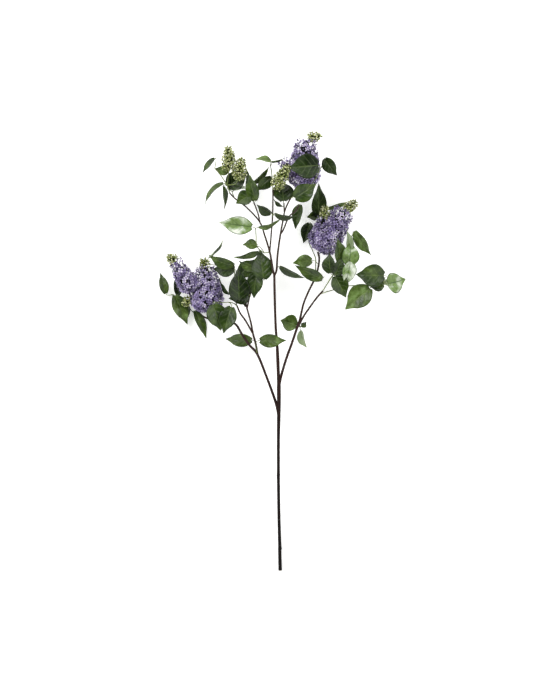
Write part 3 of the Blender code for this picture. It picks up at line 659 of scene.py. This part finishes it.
# The near-white top stop is partly a painted sheen.
LEAF_TOP = leaf_material(
    "lilac_leaf_waxy_upper_face",
    ((0.0, "#111f04"), (0.3, "#25380d"), (0.55, "#44581d"), (0.75, "#708a4c"), (0.95, "#d8decf")),
    "#8aa058", 0.2, 0.22, 1.3,
)
LEAF_UNDER = leaf_material(
    "lilac_leaf_dull_under_face",
    ((0.0, "#4a5c3a"), (0.5, "#6d7f55"), (1.0, "#9aa886")),
    "#b4bf96", 0.5, 0.55, -1.0,
)

TWIG, tree, shader = new_material("green_twig_smooth", 0.5)
place = add(tree, "TexCoord").outputs["Object"]
cloud = add(tree, "TexNoise", {"Vector": place, "Scale": 40.0, "Detail": 3.0}).outputs[0]
twig_colour = ramp(tree, cloud, (0.35, "#3d4324"), (0.5, "#5d6b34"), (0.68, "#7f8c4a"))
tree.links.new(twig_colour, shader.inputs["Base Color"])
print("leaf faces and twig")

# %% [markdown]
# Floret: a lilac petal is soft and without gloss. It is pale at its edge, and dark violet at
# its foot and throat: there partly a deeper violet and partly painted shade down in the
# floret. Each floret has its own tone, so the head shimmers from pinkish to bluish lilac, and
# the palest tones are near white, partly painted highlights. Closed florets are darker, and
# most of them are near the top of a head. The core is painted nearly black: painted shade in
# the gaps.

# %% Petals, core and buds
PETAL, tree, shader = new_material("lilac_petal_soft", 0.55, 1.4)
shader.inputs["Sheen Weight"].default_value = 0.15
shader.inputs["Subsurface Weight"].default_value = 0.12
shader.inputs["Subsurface Radius"].default_value = (0.6, 0.4, 1.0)
shader.inputs["Subsurface Scale"].default_value = 0.001
tone = attribute(tree, "tone")
reach = attribute(tree, "reach")
# The near-white end of the edge ramp is partly a painted highlight. The foot ramp is partly deeper
# violet and partly painted shade in the floret's throat.
edge = ramp(tree, tone, (0.0, "#5f5280"), (0.35, "#9b8bc3"), (0.65, "#cbbbe8"), (1.0, "#fcf8ff"))
throat_painted_shade = ramp(tree, tone, (0.0, "#1a1429"), (0.6, "#3e325b"), (1.0, "#726093"))
pale_share = maths(tree, "POWER", reach, 1.8)
tree.links.new(mix_colours(tree, pale_share, throat_painted_shade, edge), shader.inputs["Base Color"])


# A core is painted nearly black, as painted shade in the gaps between the florets of a head and
# between the beads of a bud cluster, over the green stalks that are there.
def painted_shade_core_material(name, low, high):
    made, tree, shader = new_material(name, 0.85)
    shader.inputs["Specular IOR Level"].default_value = 0.15
    place = add(tree, "TexCoord").outputs["Object"]
    cloud = add(tree, "TexNoise", {"Vector": place, "Scale": 160.0, "Detail": 3.0}).outputs[0]
    tree.links.new(ramp(tree, cloud, (0.35, low), (0.65, high)), shader.inputs["Base Color"])
    return made


CORE = painted_shade_core_material("head_core_stalks_painted_shade", "#0c0b13", "#1a1c15")
BUD_CORE = painted_shade_core_material("bud_core_stalks_painted_shade", "#181f0b", "#333d16")

# Green bud: each bead is painted dark at its foot, as painted shade between the beads, and light
# towards its tip. The near-white end of the tip ramp is partly a painted highlight.
BUD, tree, shader = new_material("green_flower_bud_smooth", 0.45)
tone = attribute(tree, "tone")
reach = attribute(tree, "reach")
tip = ramp(tree, tone, (0.0, "#4c5c1c"), (0.45, "#93a048"), (1.0, "#f0f0c2"))
root = ramp(tree, tone, (0.0, "#141a08"), (1.0, "#3d4a1a"))
tree.links.new(mix_colours(tree, reach, root, tip), shader.inputs["Base Color"])
print("petal, core and bud")

# %% [markdown]
# ## Tubes for wood, twigs and leaf stalks
# A rounded run of points is followed by a ring that is extruded from one place to the next. The
# ring keeps its turn, so the skin doesn't twist.


# %% Tube maker
def smooth_run(points, steps):
    """Points between the given ones, on a curve that passes through each of them."""
    points = [Vector((*to_world(point[:3]), point[3] * MM)) for point in points]
    padded = [points[0] * 2 - points[1], *points, points[-1] * 2 - points[-2]]
    run = []
    for before, start, end, after in zip(padded, padded[1:], padded[2:], padded[3:]):
        for step in range(steps):
            t = step / steps
            bend = (end - before) * 0.5
            bend_on = (after - start) * 0.5
            sharp = (2 * t**3 - 3 * t**2 + 1) * start + (t**3 - 2 * t**2 + t) * bend
            run.append(sharp + (3 * t**2 - 2 * t**3) * end + (t**3 - t**2) * bend_on)
    run.append(points[-1])
    return run


def add_tube(work, run, sides):
    """Extrudes a ring along the run. It returns the edges of the first and last ring."""
    side = place_before = None
    rings = []
    for index, point in enumerate(run):
        ahead = run[min(index + 1, len(run) - 1)].xyz
        along = (ahead - run[max(index - 1, 0)].xyz).normalized()
        side = along.orthogonal() if side is None else side - along * side.dot(along)
        side.normalize()
        turned = Matrix((side * point.w, along.cross(side) * point.w, along)).transposed().to_4x4()
        place = Matrix.Translation(point.xyz) @ turned
        if place_before is None:
            ring = bmesh.ops.create_circle(work, segments=sides, radius=1, matrix=place)["verts"]
            edges = list({edge for corner in ring for edge in corner.link_edges})
        else:
            made = bmesh.ops.extrude_edge_only(work, edges=edges)["geom"]
            ring = [part for part in made if isinstance(part, bmesh.types.BMVert)]
            made_edges = [part for part in made if isinstance(part, bmesh.types.BMEdge)]
            edges = [edge for edge in made_edges if set(edge.verts) <= set(ring)]
            bmesh.ops.transform(work, matrix=place @ place_before.inverted(), verts=ring)
        place_before = place
        rings.append(edges)
    return rings[0], rings[-1]


# %% [markdown]
# ## The woody stem
# Fourteen sides make the wood round. The cut foot gets a face of pale wood inside a rim of
# bark.

# %% Woody stem
STEM_SIDES = 14
BARK_RIM = 0.6  # millimetres of bark round the cut wood
work = bmesh.new()
for name, points in BRANCHES.items():
    low, high = add_tube(work, smooth_run(points, 5), STEM_SIDES)
    bmesh.ops.edgeloop_fill(work, edges=high)
    cut = bmesh.ops.edgeloop_fill(work, edges=low)["faces"]
    if name == "main_stem":
        bmesh.ops.inset_region(work, faces=cut, thickness=BARK_RIM * MM, depth=0.0)
        for face in cut:
            face.material_index = 1
bmesh.ops.recalc_face_normals(work, faces=work.faces)
mesh = finished_mesh("woody_stem_bark", work)
place_piece("woody_stem_bark", mesh, "woody_stem", "bark", BARK, CUT_WOOD)

# %% [markdown]
# ## Leaves
# A blade starts as a flat grid. Each of its points goes to its place on the folded, arched
# blade, with a bulge between each two side veins and a slow wave along the edge. A copy, turned
# over and set a little lower, is the under face. The two meet at the rim.

# %% Blade maker
ACROSS, ALONG = 16, 24
BLADE_FOLD = math.radians(16)  # how far each half rises from the midrib
BLADE_LOBE = 0.045  # how far the two lobes at the foot reach back, in blade lengths
HALF_THICKNESS = 0.25
QUILT = 0.6  # how high the blade bulges between two side veins
TIP_HOLLOW = 0.2  # how much the outline draws in before the pointed tip
STALK_RADII = ((0, 1.15), (0.15, 0.85), (0.6, 0.7), (0.9, 0.75))  # share of the stalk, radius there
MIDRIB_RADII = ((0.03, 0.65), (0.2, 0.5), (0.5, 0.35))  # share of the blade, radius there
TWIG_RADIUS = 1.15
TWIG_TAPER = 0.2
Bend = namedtuple("Bend", "wave phase curl")


def blade_point(leaf, bend, along, across):
    """The layout point of the blade, and the way its upper face looks there."""
    base, tip = Vector(leaf.base), Vector(leaf.tip)
    length = (tip - base).length
    forward = (tip - base).normalized()
    flat_up = (UP - forward * UP.dot(forward)).normalized()
    upward = Matrix.Rotation(math.radians(leaf.roll), 3, forward) @ flat_up
    sideways = forward.cross(upward)
    half = leaf.width / 2 * math.sin(math.pi * min(1, 0.03 + 0.97 * along) ** 0.72)
    half *= 1 - TIP_HOLLOW * math.sin(math.pi * held((along - 0.68) / 0.32))
    edge = abs(across)
    reach = length * (along - BLADE_LOBE * across**2 * (1 - along) ** 6)
    vein = VEIN_PAIRS * along - VEIN_SLANT * edge
    bulge = QUILT * abs(math.sin(math.pi * vein)) ** 0.7 * math.sqrt(4 * edge * (1 - edge))
    turn = 2 * math.pi * (1.5 * along + bend.phase) + (across > 0) * 2
    ripple = bend.wave * across**2 * math.sin(turn)
    rise = edge * half * math.sin(BLADE_FOLD) + leaf.arch * length * 4 * along * (1 - along)
    rise += bulge * min(1, 4 * (1 - along)) + ripple - bend.curl * max(0, along - 0.55) ** 2
    spread = across * half * math.cos(BLADE_FOLD)
    return base + forward * reach + sideways * spread + upward * rise, upward


def add_blade(work, leaf, chance):
    bend = Bend(chance.uniform(0.4, 1.3), chance.random(), chance.uniform(0, 12))
    leaf_map = work.loops.layers.uv.verify()
    tone = work.verts.layers.float.get("tone") or work.verts.layers.float.new("tone")
    top = bmesh.ops.create_grid(work, x_segments=ACROSS, y_segments=ALONG, size=1)["verts"]
    faces = list({face for point in top for face in point.link_faces})
    for face in faces:
        for loop in face.loops:
            loop[leaf_map].uv = ((loop.vert.co.x + 1) / 2, (loop.vert.co.y + 1) / 2)
    edges = list({edge for face in faces for edge in face.edges})
    copied = bmesh.ops.duplicate(work, geom=top + edges + faces)["geom"]
    under_faces = [part for part in copied if isinstance(part, bmesh.types.BMFace)]
    under = [part for part in copied if isinstance(part, bmesh.types.BMVert)]
    for face in under_faces:
        face.material_index = 1
    shade = held(leaf.tone + chance.uniform(-0.06, 0.06))
    for points, sign in ((top, 1), (under, -1)):
        for point in points:
            across, along = point.co.x, (point.co.y + 1) / 2
            place, upward = blade_point(leaf, bend, along, across)
            inside = abs(across) < 0.999 and 0.001 < along < 0.999
            if inside:
                place = place + upward * sign * HALF_THICKNESS
            point.co = to_world(place)
            point[tone] = shade
    turned = under_faces if upward_faces(faces, leaf) else faces
    bmesh.ops.reverse_faces(work, faces=turned)
    bmesh.ops.remove_doubles(work, verts=top + under, dist=1e-6)


def upward_faces(faces, leaf):
    """Whether the faces look the way that the leaf's upper side does."""
    middle = faces[len(faces) // 2]
    middle.normal_update()
    _, upward = blade_point(leaf, Bend(0, 0, 0), 0.5, 0.3)
    return middle.normal.dot(upward) > 0


def stalk_run(leaf):
    """The leaf stalk, from the twig to the foot of the blade and along its midrib."""
    joint, base = Vector(leaf.joint), Vector(leaf.base)
    forward = (Vector(leaf.tip) - base).normalized()
    bend = base - forward * (base - joint).length * 0.5
    points = []
    for step, radius in STALK_RADII:
        place = joint.lerp(bend, step).lerp(bend.lerp(base, step), step)
        points.append((*place, radius))
    for along, radius in MIDRIB_RADII:
        place, upward = blade_point(leaf, Bend(0, 0, 0), along, 0)
        points.append((*(place - upward * 0.4), radius))
    return points


def twig_run(twig):
    """The points of a green twig, each with its radius."""
    fall = TWIG_TAPER / len(twig)
    return [(*point, TWIG_RADIUS - fall * step) for step, point in enumerate(twig)]


# %% [markdown]
# Each shoot becomes two pieces: its blades, and its twigs with the leaf stalks.

# %% Leafy shoots
chance = random.Random(5)
for name, (twigs, leaves) in SHOOTS.items():
    work = bmesh.new()
    for leaf in leaves:
        add_blade(work, leaf, chance)
    mesh = finished_mesh(name + "_blades", work)
    mesh.uv_layers[0].name = "leaf_map"
    place_piece(name + "_blades", mesh, name, "leaf", LEAF_TOP, LEAF_UNDER)
    work = bmesh.new()
    for run in [twig_run(twig) for twig in twigs] + [stalk_run(leaf) for leaf in leaves]:
        for ring in add_tube(work, smooth_run(run, 4), 8):
            bmesh.ops.edgeloop_fill(work, edges=ring)
    bmesh.ops.recalc_face_normals(work, faces=work.faces)
    place_piece(name + "_stalks", finished_mesh(name + "_stalks", work), name, "leaf", TWIG)

# %% [markdown]
# ## Repeated small shapes
# A floret, a closed floret and a green bud are each modelled once and set down many times. Each
# copy gets its own tone, and each corner knows how far out on the shape it lies, from 0 at the
# root to 1 at the petal's edge. The materials paint shade towards the root with it.


# %% Small shapes
PETAL_LENGTH = 5.0
PETAL_HALF_WIDTH = 1.75


def petal_shape():
    """One open floret, in millimetres: a thin tube and four cupped petals that face along Z."""
    work = bmesh.new()
    reach = work.verts.layers.float.new("reach")
    for quarter in range(4):
        corners = bmesh.ops.create_grid(work, x_segments=2, y_segments=3, size=1)["verts"]
        for corner in corners:
            side, out = corner.co.x, (corner.co.y + 1) / 2
            half = PETAL_HALF_WIDTH * math.sin(math.pi * (0.12 + 0.72 * out)) + 0.35
            lift = 1.1 * math.sin(math.pi * 0.5 * out) + 0.9 * abs(side) * out
            corner.co = (side * half, 0.5 + PETAL_LENGTH * out, lift)
            corner[reach] = 0.15 + 0.85 * out
        turn = Matrix.Rotation(quarter * math.pi / 2, 3, "Z")
        bmesh.ops.rotate(work, verts=corners, cent=(0, 0, 0), matrix=turn)
    tube = bmesh.ops.create_cone(work, segments=5, radius1=0.45, radius2=0.95, depth=9)["verts"]
    bmesh.ops.translate(work, verts=tube, vec=(0, 0, -4.3))
    return work


def spindle_shape(length, widest, waist):
    """A closed floret or a bud: a small spindle that stands on Z 0, fattest at its waist."""
    work = bmesh.new()
    reach = work.verts.layers.float.new("reach")
    bmesh.ops.create_uvsphere(work, u_segments=6, v_segments=5, radius=1)
    for corner in work.verts:
        share = (corner.co.z + 1) / 2
        corner.co.xy *= widest
        corner.co.z = length * share ** (math.log(waist) / math.log(0.5))
        corner[reach] = share
    return work


def set_down(name, work, places):
    """Copies the shape to each place, a matrix with a tone, and joins the copies in one mesh."""
    reach = work.verts.layers.float["reach"]
    work.verts.index_update()
    corners = [corner.co.copy() for corner in work.verts]
    reaches = [corner[reach] for corner in work.verts]
    faces = [[corner.index for corner in face.verts] for face in work.faces]
    work.free()
    points, polygons, tones = [], [], []
    for place, tone in places:
        start = len(points)
        points += [to_world(place @ corner) for corner in corners]
        polygons += [[start + index for index in face] for face in faces]
        tones += [tone] * len(corners)
    for point in points:
        point.z = max(point.z, 0.0)
    mesh = bpy.data.meshes.new(name)
    mesh.from_pydata(points, [], polygons)
    mesh.attributes.new("tone", "FLOAT", "POINT").data.foreach_set("value", tones)
    mesh.attributes.new("reach", "FLOAT", "POINT").data.foreach_set("value", reaches * len(places))
    mesh.polygons.foreach_set("use_smooth", [True] * len(mesh.polygons))
    return mesh


def place_at(point, outward, spin, size):
    """A matrix that stands a shape at a point, with its Z along outward."""
    turn = Vector(outward).to_track_quat("Z", "Y").to_matrix().to_4x4()
    return Matrix.Translation(point) @ turn @ Matrix.Rotation(spin, 4, "Z") @ Matrix.Scale(size, 4)


# %% [markdown]
# ## Where florets sit
# Places follow a golden spiral over the panicle, so that they are even and never in rows.
# Their number comes from the skin of the panicle and the room that one floret takes. Florets
# close the foot of the panicle too, where they lean back.

# %% Panicle form
GOLDEN_ANGLE = math.pi * (3 - math.sqrt(5))
FULLEST = 0.25  # where along its axis a panicle is widest
TIP_TAPER = 0.46  # how much narrower it is at its top
CORE_SHARE = 0.62  # the solid inside a panicle, in panicle radii
FLORET_ROOM = 47.0  # square millimetres of the head's skin for each floret
FOOT_SHARE = 0.1  # the share of the axis on which florets close the panicle's foot
FOOT_LEAN = 1.4  # how far they lean back there
STEPS = 200


def panicle_radius(panicle, share):
    if share < FULLEST:
        return panicle.radius * math.sqrt(1 - ((FULLEST - share) / (FULLEST + 0.004)) ** 2)
    above = (share - FULLEST) / (1 - FULLEST)
    return panicle.radius * (1 - TIP_TAPER * above**1.3)


def cluster_radius(cluster, share):
    return cluster.radius * (0.3 + 0.7 * math.sin(math.pi * (0.25 + 0.75 * share)))


def axis_frame(body):
    """Foot and top of the axis, the way along it and the two ways across it."""
    foot, top = Vector(body.foot), Vector(body.top)
    along = (top - foot).normalized()
    side = along.cross(UP).normalized()
    return foot, top, along, side, along.cross(side)


def spiral_places(body, radius_at, room, chance):
    """Of each place: share along the axis, point there, way out to the skin, way that it faces."""
    foot, top, along, side, other = axis_frame(body)
    height = (top - foot).length
    radii = [radius_at(body, (step + 0.5) / STEPS) for step in range(STEPS)]
    next_radii = radii[1:] + radii[-1:]
    slants = [math.hypot(height / STEPS, high - low) for low, high in zip(radii, next_radii)]
    skins = [2 * math.pi * radius * slant for radius, slant in zip(radii, slants)]
    count = int(sum(skins) / room)
    slot, passed = 0, 0.0
    for index in range(count):
        wanted = (index + 0.5) * room
        while slot < STEPS - 1 and passed + skins[slot] < wanted:
            passed += skins[slot]
            slot += 1
        share = (slot + 0.5) / STEPS
        turn = index * GOLDEN_ANGLE + chance.uniform(-0.15, 0.15)
        out = side * math.cos(turn) + other * math.sin(turn)
        radius = radius_at(body, share)
        lean = (share - 0.35) * 1.3 - FOOT_LEAN * max(0, 1 - share / FOOT_SHARE)
        yield share, foot + along * share * height, out * radius, (out + along * lean).normalized()


def core_mesh(name, body, radius_at, share_of_radius):
    """The solid inside a head, turned round its axis and pointed at both ends."""
    foot, top, _, side, other = axis_frame(body)
    work = bmesh.new()
    bmesh.ops.create_uvsphere(work, u_segments=18, v_segments=12, radius=1)
    for point in work.verts:
        share = (point.co.z + 1) / 2
        ends = math.sin(math.pi * held(share)) ** 0.5
        turn = math.atan2(point.co.y, point.co.x)
        out = side * math.cos(turn) + other * math.sin(turn)
        width = share_of_radius * radius_at(body, min(share, 0.999)) * ends
        point.co = to_world(foot + (top - foot) * share + out * width)
    return finished_mesh(name, work)


# %% [markdown]
# ## Flower heads
# Most florets are open. Towards the top of the head more and more are still closed. A third of
# the open ones sit a little deeper, which gives the head its shaded gaps.

# %% Flower heads
TONE_MIDDLE, TONE_SPREAD = 0.53, 0.36
CLOSED_LEAST = 0.1  # the share of closed florets low on the head
CLOSED_MORE = 0.55  # what is added to it at the top
CLOSED_FROM = 0.55  # where along the axis it starts to grow
DEEPER_SHARE = 0.33
chance = random.Random(23)
for name, panicles in HEADS.items():
    open_places, closed_places = [], []
    for number, panicle in enumerate(panicles):
        core = core_mesh(f"{name}_core_{number}", panicle, panicle_radius, CORE_SHARE)
        place_piece(f"{name}_core_{number}", core, name, "petal", CORE)
        places = spiral_places(panicle, panicle_radius, FLORET_ROOM, chance)
        for share, axis, out, faces_to in places:
            tone = held(chance.gauss(TONE_MIDDLE, TONE_SPREAD))
            spin = chance.uniform(0, math.pi)
            tilt = Vector([chance.uniform(-0.5, 0.5) for _ in range(3)])
            facing = (faces_to + tilt).normalized()
            above = max(0, share - CLOSED_FROM) / (1 - CLOSED_FROM)
            if chance.random() < CLOSED_LEAST + CLOSED_MORE * above:
                start = axis + out * chance.uniform(0.82, 0.95)
                size = chance.uniform(0.8, 1.1)
                closed_places.append((place_at(start, facing, spin, size), tone * 0.6))
                continue
            depth_range = (0.78, 0.88) if chance.random() < DEEPER_SHARE else (0.93, 1.0)
            depth = chance.uniform(*depth_range)
            size = chance.uniform(0.85, 1.12) * (1 - 0.25 * max(0, share - 0.6) / 0.4)
            open_places.append((place_at(axis + out * depth, facing, spin, size), tone))
    florets = set_down(name + "_florets", petal_shape(), open_places)
    place_piece(name + "_florets", florets, name, "petal", PETAL)
    closed = set_down(name + "_closed", spindle_shape(6.5, 1.35, 0.66), closed_places)
    place_piece(name + "_closed", closed, name, "petal", PETAL)

# %% [markdown]
# ## Bud clusters
# A cluster is a small panicle that hasn't opened. At each place of its spiral two green beads
# stand at different depths, round a core painted dark as shade and a thin axis. The deeper
# beads get darker tones: painted shade inside the cluster.

# %% Bud clusters
BUD_ROOM = 22.0  # square millimetres of the cluster's skin for each pair of beads
BUD_CORE_SHARE = 0.52
SCATTER = 1.7  # how far a bead may sit from its place, in millimetres
AXIS_RADII = ((0, 1.4), (0.5, 1.2), (0.9, 0.7))  # share of the axis, radius there
chance = random.Random(41)
for name, cluster in BUD_CLUSTERS.items():
    places = []
    for share, axis, out, faces_to in spiral_places(cluster, cluster_radius, BUD_ROOM, chance):
        for depth in (chance.uniform(0.82, 1.0), chance.uniform(0.45, 0.7)):
            jitter = Vector([chance.uniform(-SCATTER, SCATTER) for _ in range(3)])
            facing = (faces_to + jitter * 0.35).normalized()
            start = axis + out * depth * 0.85 + jitter
            # A deeper bead gets a darker tone: painted shade inside the cluster.
            tone = held(chance.gauss(0.25 + 0.4 * depth, 0.28))
            places.append((place_at(start, facing, 0.0, chance.uniform(0.8, 1.15)), tone))
    core = core_mesh(name + "_core", cluster, cluster_radius, BUD_CORE_SHARE)
    place_piece(name + "_core", core, name, "bud", BUD_CORE)
    beads = set_down(name + "_beads", spindle_shape(4.2, 1.55, 0.58), places)
    place_piece(name + "_beads", beads, name, "bud", BUD)
    foot, top = Vector(cluster.foot), Vector(cluster.top)
    axis_run = [(*foot.lerp(top, share), radius) for share, radius in AXIS_RADII]
    work = bmesh.new()
    for ring in add_tube(work, smooth_run(axis_run, 2), 8):
        bmesh.ops.edgeloop_fill(work, edges=ring)
    bmesh.ops.recalc_face_normals(work, faces=work.faces)
    place_piece(name + "_axis", finished_mesh(name + "_axis", work), name, "bud", TWIG)

# %% [markdown]
# ## Surface, light and camera
# A large white board that glows a little, a soft light from the upper left and a weaker one
# from the right. The room is bright to the sides and dark straight above, behind the camera.
# So a blade that lies flat shows its own deep green, and one that is tilted shows a pale sheen.

# %% Surface and light
BOARD_HALF_WIDTH = 8
BOARD_DROP = 0.0003  # keeps the board just clear of what lies on it
BOARD_GLOW = 0.36
SIDE_BRIGHTNESS, ZENITH_BRIGHTNESS = 1.55, 0.05
SIDES_END, ZENITH_STARTS = 0.5, 0.82  # the sine of the height above the horizon
AIM = (0, 0.1, 0)
work = bmesh.new()
bmesh.ops.create_grid(work, x_segments=1, y_segments=1, size=BOARD_HALF_WIDTH)
bmesh.ops.translate(work, verts=work.verts, vec=(0, 0, -BOARD_DROP))
floor_mesh = bpy.data.meshes.new("surface")
work.to_mesh(floor_mesh)
work.free()
FLOOR, tree, shader = new_material("matte_white_board", 0.9)
shader.inputs["Base Color"].default_value = colour("#fbfbfa")
shader.inputs["Specular IOR Level"].default_value = 0.0
shader.inputs["Emission Color"].default_value = (1, 1, 1, 1)
shader.inputs["Emission Strength"].default_value = BOARD_GLOW
floor_mesh.materials.append(FLOOR)
floor = bpy.data.objects.new("surface", floor_mesh)
scene.collection.objects.link(floor)


def soft_light(name, watts, size, place, aim):
    lamp = bpy.data.lights.new(name, "AREA")
    lamp.energy = watts
    lamp.size = size
    light = bpy.data.objects.new(name, lamp)
    light.location = place
    light.rotation_euler = (Vector(place) - Vector(aim)).to_track_quat("Z", "Y").to_euler()
    scene.collection.objects.link(light)


soft_light("key_light", 60, 1.4, (-1.5, 1.5, 2.6), AIM)
soft_light("fill_light", 26, 1.2, (1.7, 0.9, 2.3), AIM)
world = bpy.data.worlds.new("pale_room")
world.use_nodes = True
tree = world.node_tree
upward = add(tree, "SeparateXYZ", {0: add(tree, "TexCoord").outputs["Generated"]}).outputs["Z"]
span = (SIDES_END, ZENITH_STARTS, SIDE_BRIGHTNESS, ZENITH_BRIGHTNESS)
brightness = remap(tree, upward, *span, interpolation_type="SMOOTHSTEP")
tree.links.new(brightness, tree.nodes["Background"].inputs["Strength"])
tree.nodes["Background"].inputs["Color"].default_value = (1, 1, 1, 1)
scene.world = world
scene.view_settings.view_transform = "Standard"
print("surface and lights")

# %% [markdown]
# The camera hangs ten metres above the surface and looks straight down. Its lens is long, so
# that near and far pieces keep their size, and shows 1.54 m of the stem's own height.

# %% Camera
CAMERA_HEIGHT = 10.0
SHOWN_HEIGHT = 1.54
STEM_LEVEL = 0.065  # the height at which the shown height is measured
AIM_X, AIM_Y = 0.5, 488.0  # the layout point below the camera, in millimetres
SENSOR = 36
camera_data = bpy.data.cameras.new("camera")
camera_data.sensor_width = SENSOR
camera_data.lens = SENSOR * (CAMERA_HEIGHT - STEM_LEVEL) / SHOWN_HEIGHT
camera_data.clip_end = 100
camera = bpy.data.objects.new("camera", camera_data)
camera.location = ((AIM_X - MIDDLE.x) * MM, (AIM_Y - MIDDLE.y) * MM, CAMERA_HEIGHT)
scene.collection.objects.link(camera)
scene.camera = camera
